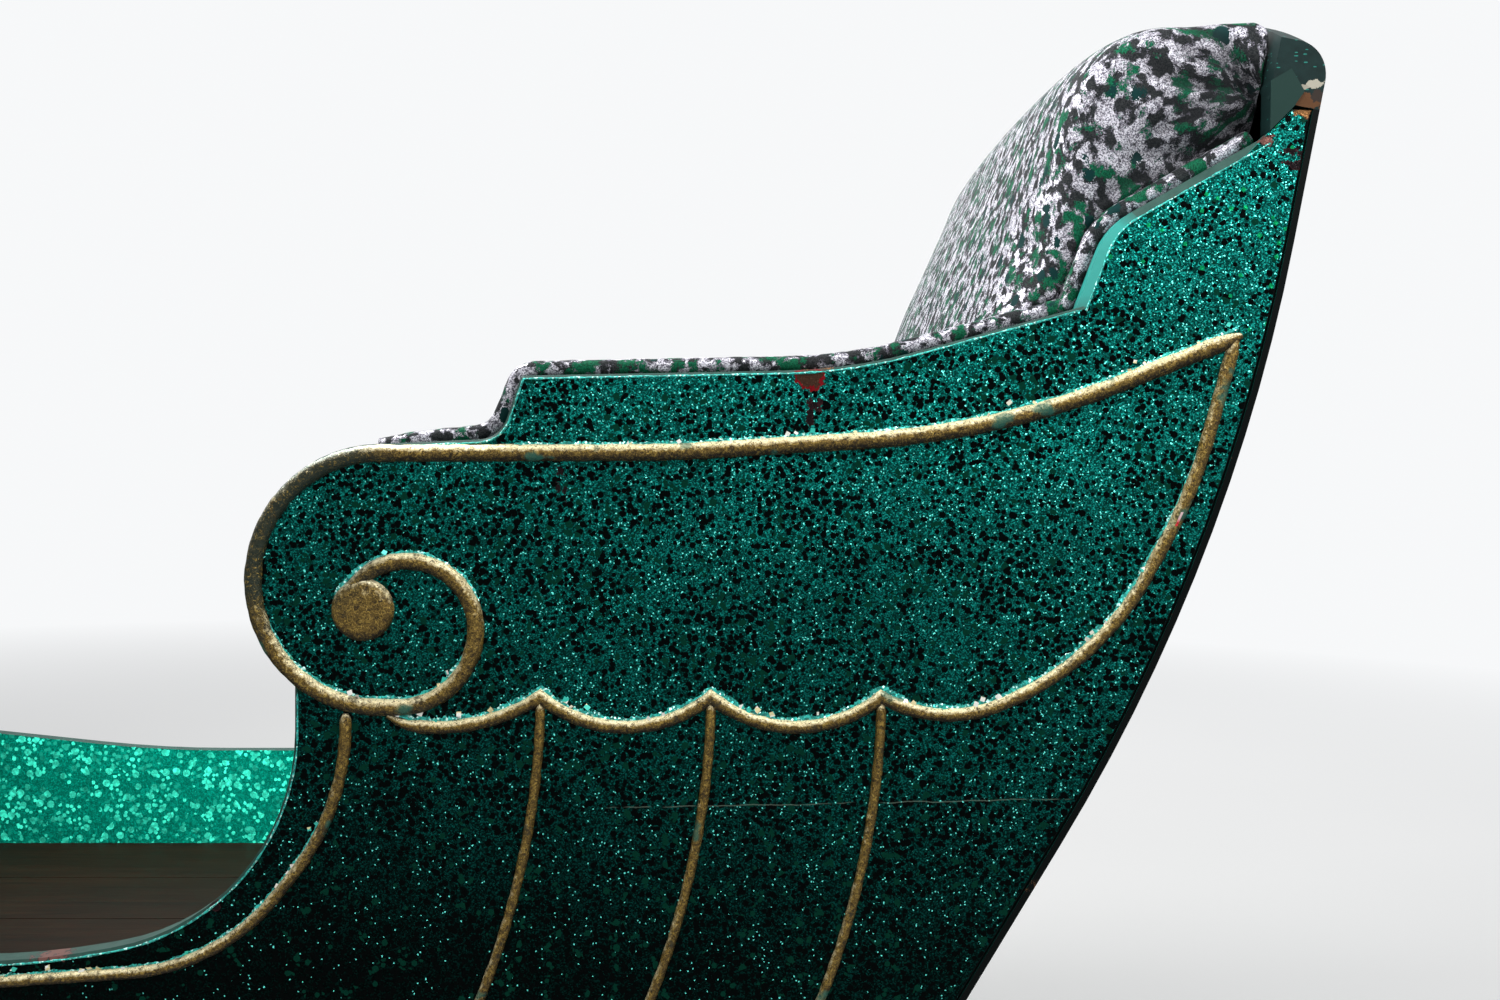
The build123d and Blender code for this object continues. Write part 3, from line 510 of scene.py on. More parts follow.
def framed(middle, halfWide, halfHigh, corner, facing):
    # A brushed gilt line round a panel: where the distance to a rounded rectangle across and
    # up the sleigh is small, on the face that looks the given way
    def lining(p):
        _, y, z = p.split(p.coord)
        across, upward = abs(y) - (halfWide - corner), abs(z - middle) - (halfHigh - corner)
        inside = p.math("MINIMUM", p.math("MAXIMUM", across, upward), 0.0)
        outside = p.distance(p.math("MAXIMUM", across, 0.0), p.math("MAXIMUM", upward, 0.0))
        away = abs(outside + inside - corner) + (p.noise(0.006, 4.0) - 0.5) * 0.0016
        return p.ramp(away, 0.0032, 0.0040, 1.0, 0.0) * (p.facing()[0] * facing > 0.2)
    return lining


def runnerLine(p):
    # A gilt line along the middle of the runner's sides and round its nose
    x, _, z = p.split(p.coord)
    ahead = p.math("MINIMUM", x - (seatMiddle - 1.240), 0.0)
    away = abs(p.distance(ahead, z - 0.380) - 0.349)
    low = z + ahead * 2.0 < 0.054
    return p.ramp(away, 0.0018, 0.0026, 1.0, 0.0) * (abs(p.facing()[1]) > 0.8) * low


def crestPaint():
    # The crest's ends: a smooth block, tiny teal flakes, filler and bare wood at the corner
    s = {"block": rgb(0.012, 0.033, 0.028), "grain": rgb(0.0045, 0.013, 0.0125), "teal": rgb(0.02, 0.16, 0.13)}
    p = Paint("crestPaint")
    x, y, z = p.split(p.coord)
    brush = p.noise(0.015, 5.0, 0.6, at=p.stretched((1.0, 0.2, 1.0)))
    colour = p.mix(p.ramp(brush, 0.3, 0.7), s["grain"], tinted(s["grain"], 1.7))
    dashes, own = p.cells(0.009, p.stretched((1.0, 1.0, 3.2)))
    colour = p.mix((dashes["Distance"] < 0.22) * (own[0] < 0.30), colour, s["teal"])
    block = abs(y) > 0.5005
    colour = p.mix(block, colour, s["block"])
    rag = (p.noise(0.005, 5.0, 0.65) - 0.5) * 1.9
    atEnd = (y < -0.494) * (1.0 - block)
    for *chip, paint in (
        (519, 1309, 16, 7, rgb(0.090, 0.040, 0.017)), (525, 1325, 8, 4, rgb(0.34, 0.32, 0.26)),
        (515, 1322, 5, 2.5, rgb(0.28, 0.26, 0.21)), (528, 1314, 7, 6, rgb(0.030, 0.022, 0.018)),
    ):
        colour = p.mix((p.spot(x, z, chip) + rag < 1.0) * atEnd, colour, paint)
    return p.set(Base_Color=colour, Roughness=0.5, Specular_IOR_Level=0.08, Normal=p.bump(brush, 0.0005, 0.4))


def boardWood(name, pale, deep, along=(0.06, 1.0, 1.0), roughness=0.55, ring=0.011):
    # Wood with long grain: rings pulled out along the board, fine pores and a few knots
    p = Paint(name)
    pulled = p.stretched(along)
    warp = p.vector("ADD", pulled, p.scaled(p.noise(0.05, 3.0, at=pulled, out=1), 0.02))
    rings = p.noise(ring, 5.0, 0.62, at=warp, distortion=1.2)
    pores = p.noise(0.0016, 2.0, at=pulled)
    colour = p.mix(p.ramp(rings, 0.34, 0.68), pale, deep)
    colour = p.mix(p.ramp(pores, 0.55, 0.75, 0.0, 0.55), colour, tinted(deep, 0.45))
    knots = p.cells(1 / 1.1, p.stretched((2.4, 9.0, 2.4)))[0]["Distance"]
    colour = p.mix(p.ramp(knots, 0.045, 0.085, 1.0, 0.0), colour, tinted(deep, 0.3))
    colour = p.mix(p.ramp(p.noise(0.4, 4.0), 0.4, 0.7, 0.0, 0.35), colour, tinted(deep, 0.5))
    return p.set(Base_Color=colour, Roughness=roughness, Specular_IOR_Level=0.05,
                 Normal=p.bump(rings + pores, 0.0004, 0.45))


def wornIron():
    p = Paint("wornIron")
    patina = p.noise(0.018, 7.0, 0.65)
    rust = p.ramp(p.noise(0.03, 8.0, 0.7), 0.56, 0.68)
    colour = p.mix(p.ramp(patina, 0.38, 0.62), rgb(0.045, 0.042, 0.040), rgb(0.12, 0.105, 0.095))
    return p.set(Base_Color=p.mix(rust, colour, rgb(0.16, 0.06, 0.022)), Metallic=p.mix(rust, 0.75, 0.1, "FLOAT"),
                 Roughness=p.mix(rust, 0.45, 0.8, "FLOAT"), Normal=p.bump(p.noise(0.003, 4.0), 0.0005, 0.6))


def leatherPaint():
    # Dark oiled harness leather, creased, worn paler along the wrap's edges
    p = Paint("shaftLeather")
    wear = p.ramp(p.noise(0.05, 6.0, 0.6), 0.5, 0.7)
    return p.set(Base_Color=p.mix(wear, rgb(0.020, 0.010, 0.006), rgb(0.085, 0.040, 0.018)), Roughness=0.5,
                 Specular_IOR_Level=0.2, Normal=p.bump(p.cells(0.0022)[0]["Distance"], 0.0006, 0.6))


def brocade():
    # Woven brocade: a ground of glinting silver threads broken by charcoal, green and
    # blackish green patches with frayed edges
    s = {
        "patch": 0.0082, "green": 0.0115, "oval": 0.0140, "thread": 0.0010,
        "silver": (rgb(0.110, 0.104, 0.130), rgb(0.62, 0.61, 0.67)),
        "dark": (rgb(0.008, 0.010, 0.011), rgb(0.030, 0.032, 0.034)),
        "leaf": (rgb(0.002, 0.045, 0.021), rgb(0.005, 0.120, 0.058)),
        "ovals": rgb(0.0025, 0.026, 0.025), "creaseShade": rgb(0.004, 0.005, 0.006),
    }
    p = Paint("brocade")
    # Where the cloth is gathered, an own attribute shifts the pattern, and another darkens the creases as painted shade
    shift = p.add("Attribute", 1, {"attribute_name": "weave"})
    creaseShade = p.add("Attribute", 2, {"attribute_name": "creaseShade"})
    pulled = p.vector("MULTIPLY", p.vector("ADD", p.coord, shift), (0.70, 1.1, 0.62))
    drawn = p.vector("SUBTRACT", p.noise(0.009, 4.0, 0.65, at=pulled, out=1), (0.5, 0.5, 0.5))
    wander = p.vector("ADD", pulled, p.scaled(drawn, 0.008))
    charcoal = p.noise(s["patch"], 2.5, 0.5, at=wander)
    green = p.noise(s["green"], 2.0, 0.5, at=p.vector("ADD", wander, (3.1, 1.7, 0.4)))
    ovals, ovalOwn = p.cells(s["oval"], wander)
    speck, tone, _ = p.cells(s["thread"])[1]
    fray = (speck - 0.5) * 0.10
    darkMask = charcoal + fray > 0.512
    greenMask = green + fray > 0.59
    ovalMask = (ovals["Distance"] + fray < 0.34) * (ovalOwn[0] < 0.35)
    colour = p.mix(darkMask, p.mix(p.ramp(speck, 0.25, 0.80), *s["silver"]), p.mix(p.ramp(tone, 0.2, 0.9), *s["dark"]))
    colour = p.mix(greenMask, colour, p.mix(p.ramp(tone, 0.2, 0.9), *s["leaf"]))
    colour = p.mix(ovalMask, colour, s["ovals"])
    # Painted shade in the gathers' creases
    colour = p.mix(creaseShade * 0.94, colour, s["creaseShade"])
    covered = p.math("MAXIMUM", p.math("MAXIMUM", darkMask, greenMask), ovalMask)
    shine = p.math("SUBTRACT", 1.0 - covered, creaseShade, clamp=True) * p.ramp(speck, 0.3, 0.7)
    return p.set(Base_Color=colour, Metallic=shine * 0.32, Roughness=p.mix(shine, 0.7, 0.34, "FLOAT"),
                 Specular_IOR_Level=p.mix(shine, 0.08, 0.5, "FLOAT"),
                 Normal=p.bump(speck * 0.5 + shine * 0.5, 0.0005, 0.55))


boardGreen = rgb(0.0030, 0.027, 0.021)
# Dark stained wood for the floor and the seat's inner boards, made darker still as painted shade, as they lie in shadow
# inside the body
floorStainAndShade = rgb(0.015, 0.0062, 0.0028), rgb(0.005, 0.0022, 0.0012)
finishes = {
    "glitter_board": glitterPaint(),
    "gilt": giltPaint(),
    "dark_paint": darkPaint("darkPaint", boardGreen),
    "floor_wood": boardWood("floorWood", *floorStainAndShade),
    "brocade": brocade(),
    "runner_paint": darkPaint("runnerPaint", rgb(0.004, 0.050, 0.037), runnerLine),
    "iron": wornIron(),
    "shaft_wood": boardWood("shaftWood", rgb(0.33, 0.19, 0.085), rgb(0.15, 0.07, 0.028), (0.05, 1.0, 1.0), 0.38, 0.008),
}
drift, looseFlakes, leather = driftPaint(), flakePaint(), leatherPaint()
# Solids whose finish differs from the rest of their slot
crossWood = boardWood("crossWood", *floorStainAndShade, (1.0, 0.06, 1.0))
ownFinish = dict.fromkeys(("seat_riser", "seat_board", "inner_back", "floor_bearers"), crossWood)
ownFinish["crest_rail"] = crestPaint()
# The back panel's edges are coloured near black as painted shade
ownFinish["back_panel"] = darkPaint("backPaint", boardGreen, framed(0.80, 0.405, 0.42, 0.07, 1),
                                    rgb(0.0010, 0.0022, 0.0020))
ownFinish["dash_panel"] = darkPaint("dashPaint", boardGreen, framed(0.62, 0.405, 0.125, 0.05, -1))
for row in frame["record"]["subparts"]:
    for slot in nodes[row["node"]].material_slots:
        slot.material = ownFinish.get(row["node"], finishes[row["material_slot"]])


beads = {
    "scroll": (-344.0, 863.5, 127.0), "dash": (-1398.0, 868.0, 92.0), "curl": 72.0, "dashCurl": 42.0,
    # Width and height of each kind of bead
    "wide": (16.0, 8.0), "thin": (11.0, 6.0), "scallop": (12.5, 6.6), "rib": (9.0, 5.2),
    "margin": 1.0, "shift": 17.0, "turn": 236.0, "drawIn": 0.185, "discHeight": 8.0,
    "tip": (452.0, 1089.0), "cuspX": -195.0, "cuspZ": 755.0, "pitch": 158.5, "sag": 28.0,
    "across": 11, "sunk": 0.1,  # points across a bead, and how deep its foot lies in the board
}
scrollX, scrollZ, scrollRadius = beads["scroll"]
dashX, dashZ, dashRadius = beads["dash"]
tipX, tipZ = beads["tip"]
# Each scroll's middle, the radius of its bead's line round it, and that of its curl
scrollOuter = scrollRadius - beads["wide"][0] / 2 - beads["margin"]
dashOuter = dashRadius - beads["thin"][0] / 2 - beads["margin"]
scrollCurl = scrollX, scrollZ, scrollOuter, beads["curl"]
dashCurl = dashX, dashZ, dashOuter, beads["dashCurl"]


def boss(cx, cz, outer, curl):
    # The disc that ends a curl: its middle and radius
    return cx + beads["shift"] * curl / beads["curl"] - 0.46 * curl, cz - outer + 1.26 * curl, 0.408 * curl


def curlLine(cx, cz, outer, curl):
    # An arc down the bow, then a spiral whose radius shrinks by a smooth step over its last
    # part, then a tail that runs into the disc's rim: its angle and distance change together
    a = np.radians(np.linspace(270, 270 + beads["turn"], 60))
    close = between(a, fullTurn, fullTurn + math.radians(150))
    r = curl * (1 - beads["drawIn"] * close**2 * (3 - 2 * close))
    whorl = circlePoints(cx + beads["shift"] * curl / beads["curl"], cz - outer + curl, r, a)
    x, z, radius = boss(cx, cz, outer, curl)
    tail = circlePoints(x, z, np.linspace(0.73, 0.62, 12) * radius, np.radians(np.linspace(146, 200, 12)))
    return np.concatenate([arcLine(cx, cz, outer, 90, 180), whorl, tail])


def scrollBeadLine():
    top = scrollZ + scrollOuter
    arm = roundedLine([(tipX + 5, tipZ + 2, 0), (tipX - 222, tipZ - 88, 780), (-70, top + 1, 1100), (scrollX, top, 0)])
    return spread(np.concatenate([arm, curlLine(*scrollCurl)]), 3.0)


def dipBeadLine():
    # It starts under the scroll's bead, where that bead's outer edge passes
    beside = 32 - beads["thin"][0] / 2
    under = scrollOuter + beads["wide"][0] / 2 + 0.5
    run = roundedLine([
        (scrollX - 32, scrollZ - math.sqrt(under**2 - beside**2), 0), (-376, 650, 225), (-494, 504, 190),
        (-939, 474, 1500), (-1309, 510, 116), (-1338, dashZ + dashOuter, 40), (dashX, dashZ + dashOuter, 0),
    ])
    return spread(np.concatenate([run, curlLine(*dashCurl)]), 3.0)


def scallopLine():
    # From the scroll's bow over three cusps and up to the wing's tip
    x, z, pitch, sag = (beads[key] for key in ("cuspX", "cuspZ", "pitch", "sag"))
    bow = scrollZ - scrollOuter
    line = [
        [(scrollX + 7, bow - 8), (scrollX + 16, bow - 13)],
        threePointArc((scrollX + 26, bow - beads["wide"][0] - 0.6), (x - 62, z - sag + 3), (x, z)),
    ]
    for a in (x, x + pitch):
        line.append(threePointArc((a, z), (a + pitch / 2, z - sag), (a + pitch, z))[1:])
    a = x + 2 * pitch
    line.append(roundedLine([(a, z, 0), (a + 57, z - 30, 125), (a + 203, z + 32, 270), (a + 290, z + 192, 480),
                             (tipX - 5, tipZ - 18, 60), (tipX + 1, tipZ + 3, 0)])[1:])
    return np.concatenate(line)


def ribLine(x):
    z = beads["cuspZ"]
    return np.vstack([[(x, z - 5)], threePointArc((x, z - 13), (x - 27, z - 195), (x - 150, 306.0))])


def beadStrip(line, width, height, sign, seed, ends):
    # A half-round profile carried along a line on the board: across the line by
    # width/2·cos(t), away from the board by height·sin(t), both swelling unevenly along it
    side = leftOf(np.diff(line, axis=0))
    before, after = np.vstack([side[:1], side]), np.vstack([side, side[-1:]])
    mitre = before + after
    mitre /= np.maximum((mitre * before).sum(1), 0.35)[:, None]
    along = lengthAlong(line)[:, None]
    t = np.linspace(0, math.pi, beads["across"])
    # Both ends run out thin over their own lengths
    thin = np.clip(np.minimum((along + 1) / ends[0], (along[-1] - along + 1) / ends[1]), 0, 1)
    wide = (width / 2 + 0.5 * waves(along, seed)) * (0.25 + 0.75 * thin**0.7)
    high = height * 0.93 + 0.45 * waves(along, seed + 1, (13.0, 29.0, 47.0, 7.0))
    high *= 0.35 + 0.65 * thin**0.5
    rough = 0.22 * np.sin(along / 4.1 + 5 * t) * np.sin(along / 9.7 + seed)
    out = np.clip(np.sin(t) ** 0.9 * (high + rough), 0, height)
    x, z = (line[:, i:i + 1] + mitre[:, i:i + 1] * np.cos(t) * wide for i in (0, 1))
    return placed(x, sign * (boardFace + (out - beads["sunk"]) * mm), z).reshape(-1, 3)


def discDome(cx, cz, radius, sign):
    # A low dome: height·(1 - (r/R)^6)^(1/3), a little lumpy, falling to the board at its rim
    r, a = np.meshgrid(np.linspace(0, 1, 14), np.linspace(0, fullTurn, 48, endpoint=False), indexing="ij")
    high = beads["discHeight"]
    lift = np.clip(high * (1 - r**6) ** 0.34 * (0.93 + 0.05 * np.sin(3 * a + 10.4 * r) * r), 0, high)
    x, z = cx + radius * r * np.cos(a), cz + radius * r * np.sin(a)
    return placed(x, sign * (boardFace + (lift - beads["sunk"]) * mm), z)


def addBead(name, lines, width, height, ends, sign, seed, disc=None):
    points, faces, count = [], [], 0
    for i, line in enumerate(lines):
        points.append(beadStrip(line, width, height, sign, seed + 3 * i, ends))
        faces += cappedFaces(len(line), beads["across"], count, False)
        count += len(points[-1])
    if disc:
        dome = discDome(*disc, sign)
        points.append(dome.reshape(-1, 3))
        faces += gridFaces(*dome.shape[:2], start=count).tolist()
    return dress(addMesh(name, np.concatenate(points), faces), finishes["gilt"])


scrollBead, dipBead, scallop = scrollBeadLine(), dipBeadLine(), scallopLine()
ribs = [ribLine(beads["cuspX"] + i * beads["pitch"]) for i in range(3)]
for sideName, sign in sides:
    # Each bead: lines, width and height, lengths over which its ends run out, disc
    for label, lines, (width, height), ends, disc in (
        ("scroll_bead", [scrollBead], beads["wide"], (22, 60), boss(*scrollCurl)),
        ("dip_bead", [dipBead], beads["thin"], (8, 40), boss(*dashCurl)),
        ("scallop_bead", [scallop], beads["scallop"], (34, 18), None),
        ("ribs", ribs, beads["rib"], (3, 14), None),
    ):
        piece = addBead(f"{label}_{sideName}_gilt", lines, width, height, ends, sign, 30 + 20 * sign, disc)
        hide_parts(f"{label}_{sideName}")
print("beads done")


def evenLoop(points, count):
    # The same closed line with evenly spaced points
    ring = np.vstack([points, points[:1]])
    along = lengthAlong(ring)
    return sampled(ring, along, np.linspace(0, along[-1], count, endpoint=False))


def shrunk(loop, amount):
    # A closed line moved inwards by an amount, along the mean of its two neighbours' normals
    x, z = loop.T
    normal = leftOf(np.roll(loop, -1, 0) - loop) * np.sign(np.sum(x * np.roll(z, -1) - np.roll(x, -1) * z))
    normal = normal + np.roll(normal, 1, 0)
    normal /= np.maximum(np.hypot(*normal.T), 0.3)[:, None]
    return loop + normal * amount


def paddedSlab(name, outlineAt, middle, half, rounding, points=150, draw=None):
    # A closed pad across the sleigh: each row is the outline at its y, drawn in near both
    # ends by draw·(1 - sqrt(1 - t²)), so that the ends are rounded over
    draw = draw or rounding
    level = half - rounding
    turn = rounding * np.sin(np.linspace(0, math.pi / 2, 8))[1:]
    y = np.concatenate([-level - turn[::-1], np.linspace(-level, level, max(int(half / 8), 5)), level + turn])
    rows = []
    for at in y:
        t = max(abs(at) - level, 0) / rounding
        loop = shrunk(evenLoop(outlineAt(at / half), points), draw * (1 - math.sqrt(max(1 - t * t, 0))))
        rows.append(placed(loop[:, 0], (middle + at) * mm, loop[:, 1]))
    return addMesh(name, rows, cappedFaces(len(y), points), False)


def useModifier(piece, kind, settings):
    modifier = piece.modifiers.new(kind.title(), kind)
    for key, value in settings.items():
        setattr(modifier, key, value)
    return modifier


def applied(piece):
    # The mesh with its modifiers taken in
    graph = bpy.context.evaluated_depsgraph_get()
    mesh = bpy.data.meshes.new_from_object(piece.evaluated_get(graph))
    piece.modifiers.clear()
    old = piece.data
    piece.data = mesh
    bpy.data.meshes.remove(old)


def vertices(piece):
    flat = np.empty(len(piece.data.vertices) * 3)
    piece.data.vertices.foreach_get("co", flat)
    return flat.reshape(-1, 3)


def setVertices(piece, points):
    piece.data.vertices.foreach_set("co", points.ravel())
    piece.data.update()


stuffing = {
    "frames": 20, "stiffness": 12.0, "quality": 4,
    # Each kind of pad: its mesh's fineness, the pressure in it, the farthest that a point moves
    "back": (0.0096, 2.2, 0.012), "seat": (0.009, 2.4, 0.012), "arm": (0.008, 1.6, 0.006),
}


def swell(piece, voxel, pressure, cap):
    # Remeshes the pad evenly, blows it up as cloth for a few frames with gravity off,
    # caps how far each point moved, and leaves a plain mesh
    useModifier(piece, "REMESH", {"mode": "VOXEL", "voxel_size": voxel})
    applied(piece)
    start = vertices(piece)
    cloth = useModifier(piece, "CLOTH", {})
    cloth.settings.use_pressure = True
    cloth.settings.uniform_pressure_force = pressure
    cloth.settings.effector_weights.gravity = 0
    cloth.settings.tension_stiffness = stuffing["stiffness"]
    cloth.settings.compression_stiffness = stuffing["stiffness"]
    cloth.settings.quality = stuffing["quality"]
    cloth.point_cache.frame_end = stuffing["frames"]
    for frameNumber in range(1, stuffing["frames"] + 1):
        scene.frame_set(frameNumber)
    applied(piece)
    scene.frame_set(1)
    moved = vertices(piece) - start
    length = np.linalg.norm(moved, axis=1)
    moved *= (np.minimum(length, cap) / np.maximum(length, 1e-9))[:, None]
    setVertices(piece, start + moved)


def subdivided(piece):
    useModifier(piece, "SUBSURF", {"levels": 1, "render_levels": 1})
    applied(piece)
    piece.data.polygons.foreach_set("use_smooth", np.full(len(piece.data.polygons), True))


def tube(name, line, radius, around=12, closed=False, uneven=0.0, seed=0):
    # A round profile carried along a line in space: each ring is radius·(cos, sin) of an
    # angle, in the plane across the line, its radius swelling a little along the way
    ahead = np.roll(line, -1, 0) - np.roll(line, 1, 0)
    if not closed:
        ahead[0], ahead[-1] = line[1] - line[0], line[-1] - line[-2]
    ahead /= np.linalg.norm(ahead, axis=1)[:, None]
    up = np.array([0.0, 1.0, 0.0]) if np.abs(ahead[:, 1]).max() < 0.95 else np.array([0.0, 0.0, 1.0])
    side = np.cross(ahead, up)
    side /= np.linalg.norm(side, axis=1)[:, None]
    over = np.cross(side, ahead)
    along = np.concatenate([[0], np.cumsum(np.linalg.norm(np.diff(line, axis=0), axis=1))])
    r = radius * (1 + uneven * waves(along / mm, seed, (31.0, 17.0, 53.0, 9.0)))
    a = np.linspace(0, fullTurn, around, endpoint=False)[None, :, None]
    grid = line[:, None] + r[:, None, None] * (np.cos(a) * side[:, None] + np.sin(a) * over[:, None])
    return addMesh(name, grid, gridFaces(len(line), around, True) if closed else cappedFaces(len(line), around))


def sideOf(line):
    # Unit normal of a line in the board's plane, on the side that faces up
    normal = leftOf(np.gradient(line, axis=0))
    return normal * np.where(normal[:, 1:] < 0, -1, 1)


def fine(line, step):
    along = lengthAlong(line)
    at = np.arange(0, along[-1], step)
    return sampled(line, along, at), at


drifts = {
    "step": 1.3, "lowest": 0.30, "reach": 2.6, "lift": 0.9, "seed": 91, "least": 0.1,
    # Loose flakes: how many to a side, size, farthest from a bead
    "flakes": 110, "flakeSize": 5.0, "stray": 8.0,
    "arrisStep": 2.0, "arrisRadius": 0.95,
    # Where a bead is the board's own edge: from a scroll's middle, near its rim, forward of
    # and above these distances
    "rim": (-18, 60), "behind": 125, "under": -60,
}
# Where glitter lies: along each bead's line, its width and how much there is
sideLines = [
    (scrollBead, beads["wide"][0], 1.0), (scallop, beads["scallop"][0], 1.6), (dipBead, beads["thin"][0], 0.8),
]
# The board's top edges, and how far the bright line of loose glitter on their arris lies inside them: it is made bright
# as a painted highlight along the arris
arrisHighlights = [
    ("wing", [(305, 1117, 0), (335, 1195, 70), (480, 1277, 0)], 8.2),
    ("arm", [(-344, 990.5, 0), (-233, 995.5, 28), (-213, 1054, 4), (95, 1060, 500), (305, 1117, 0)], 3.2),
    ("dip", [(-1285, 640, 0), (-1285, 544, 90), (-941, 508, 1900), (-668, 508, 690), (-424, 551, 205),
             (-424, 760, 0)], 3.2),
]
for sideName, sign in sides:
    chance = np.random.default_rng(drifts["seed"] + sign)
    points, faces, spots, count = [], [], [], 0
    for line, width, amount in sideLines:
        line, at = fine(line, drifts["step"])
        normal = sideOf(line)
        up = between(normal[:, 1], drifts["lowest"], drifts["lowest"] + 0.3)
        # Outside the scrolls the board ends at the bead, so nothing lies there
        for hubX, hubZ, hubRadius in (beads["scroll"], beads["dash"]):
            spoke = line - (hubX, hubZ)
            far = np.hypot(*spoke.T)
            low, high = drifts["rim"]
            outside = (far > hubRadius + low) & (far < hubRadius + high) & ((spoke * normal).sum(1) > 0)
            up = np.where(outside & (spoke[:, 0] < drifts["behind"]) & (spoke[:, 1] > drifts["under"]), 0, up)
        ragged = 0.45 + 0.55 * chance.random(len(line)) + 0.6 * waves(at, 7 + sign, (43.0, 19.0, 71.0, 8.0))
        reach = (np.clip(amount * drifts["reach"] * ragged, 0.05, 5.0) * up)[:, None]
        shares = np.array([0.0, 0.5, 1.0])
        out = (width / 2 - 1.6) + shares * (reach + 1.5)
        lift = drifts["lift"] * (1 - shares**2) * (0.4 + 0.9 * chance.random((len(line), 3))) + 0.12
        lift = np.where(reach < drifts["least"], -0.6, lift)
        x, z = (line[:, i:i + 1] + normal[:, i:i + 1] * out for i in (0, 1))
        points.append(placed(x, sign * (boardFace + lift * mm), z).reshape(-1, 3))
        # Rows that turn over from one side of the line to the other are left out
        keep = (reach[:-1, 0] > drifts["least"]) & ((normal[1:] * normal[:-1]).sum(1) > 0.3)
        faces += gridFaces(len(line), 3, closeColumns=False, start=count)[keep.repeat(2)].tolist()
        count += len(points[-1])
        spots += [(line[i], normal[i], width) for i in np.flatnonzero(up > 0.4)[::6]]
    dress(addMesh(f"glitterDrift_{sideName}", np.concatenate(points), faces), drift)

    corners = []
    for pick in chance.integers(0, len(spots), drifts["flakes"]):
        place, normal, width = spots[pick]
        away = width / 2 + drifts["stray"] * chance.random() ** 2.2 - 1.0
        size = drifts["flakeSize"] * (0.55 + 0.55 * chance.random()) / 2
        turn, tip = chance.random(3)[:2] * (6.283, 0.9)
        x, z = place + normal * away
        middle = placed(x, sign * (boardFace + (1.6 + 1.5 * chance.random()) * mm), z)
        a = np.array([math.cos(turn), 0.0, math.sin(turn)])
        b = np.array([-math.sin(turn) * math.cos(tip), -sign * math.sin(tip), math.cos(turn) * math.cos(tip)])
        corners += [middle + (u * a + v * b) * size * mm for u, v in ((-1, -1), (1, -1), (1, 1), (-1, 1))]
    squares = np.arange(len(corners)).reshape(-1, 4)
    dress(addMesh(f"looseFlakes_{sideName}", corners, squares, False, False), looseFlakes)

    for label, edge, inset in arrisHighlights:
        line, _ = fine(roundedLine(edge, drifts["arrisStep"]), drifts["arrisStep"])
        line = line - leftOf(np.gradient(line, axis=0)) * inset
        arrisHighlight = tube(f"arris_{label}_{sideName}", placed(line[:, 0], sign * (boardFace + 0.0001), line[:, 1]),
                     drifts["arrisRadius"] * mm, 5, False, 0.55, 31 + sign)
        dress(arrisHighlight, drift)
print("glitter drifts done")


seat = {
    "boardTop": 690.3, "frontX": -414.0, "backFoot": 240.0, "backLean": 0.372, "innerTop": 1240.0,
    "wingTop": 1302.0, "crestFront": 480.9, "rearSlope": 82.0 / 421.0,
    "armTop": 1054.0, "wingFoot": (305.0, 1117.0), "scrollTop": 990.5,
    # Half width, rounding and points of each pad's first shape, and its middle on an arm
    "backSlab": (472, 26, 200, 9), "cushionSlab": (377, 30), "armSlab": (42, 16), "armMiddle": 430,
    # The room, in metres, that the seat cushion and an arm pad fill: across, and up
    "cushionRoom": ((-0.3825, 0.3825), (0.6905, 0.8133)), "padRoom": (0.386, 0.4738), "padFoot": 0.6906,
    # Where an arm pad runs back under the back cushion: behind, below, and down to
    "tuck": (0.121, 0.835, 0.8125), "padLift": 1.2, "rollPlace": 0.4655, "rollRadius": 9.0,
}
# The back's front as corners at its ends and in the middle: foot, lean, roll, crown
backEnd = np.array([(128, 814, 50), (282, 1167, 300), (344, 1389, 103), (75, 0, 0)], float)
backMiddle = np.array([(90, 814, 50), (213, 1158, 300), (306, 1354, 134), (175, 0, 0)], float)


def innerBack(z):
    # The front face of the inner back, which leans, at a height
    return seat["backFoot"] + seat["backLean"] * (z - 690)


def backOutline(share):
    # Bulges from the ends to the middle as a parabola across the sleigh
    foot, lean, roll, (crown, _, _) = backMiddle + (backEnd - backMiddle) * share**2
    crest, top = seat["crestFront"] - 1, seat["wingTop"]
    return roundedLine([
        (innerBack(814) - 2, 814.5, 0), (foot[0], 814.5, 50), lean, roll,
        (crest + crown * seat["rearSlope"], top + crown + 6, 14), (crest - 24 * seat["rearSlope"], top - 24, 6),
        (innerBack(seat["innerTop"] - 2) - 3, seat["innerTop"] - 2, 0),
    ])


# The line of the sewn roll inside the board's top edge: from the scroll over the arm and
# up the wing, a little above the edge
sewnLine = roundedLine([
    (-350, seat["scrollTop"] - 9, 0), (-322, seat["scrollTop"] - 3, 60), (-238, seat["scrollTop"] + 6, 34),
    (-214, seat["armTop"] + 1, 14), (95, seat["armTop"] + 7, 500), (*seat["wingFoot"], 24),
    (335, 1195, 60), (478, 1276, 0),
], 5.0)
sewnLine = sewnLine + sideOf(sewnLine) * 5.5

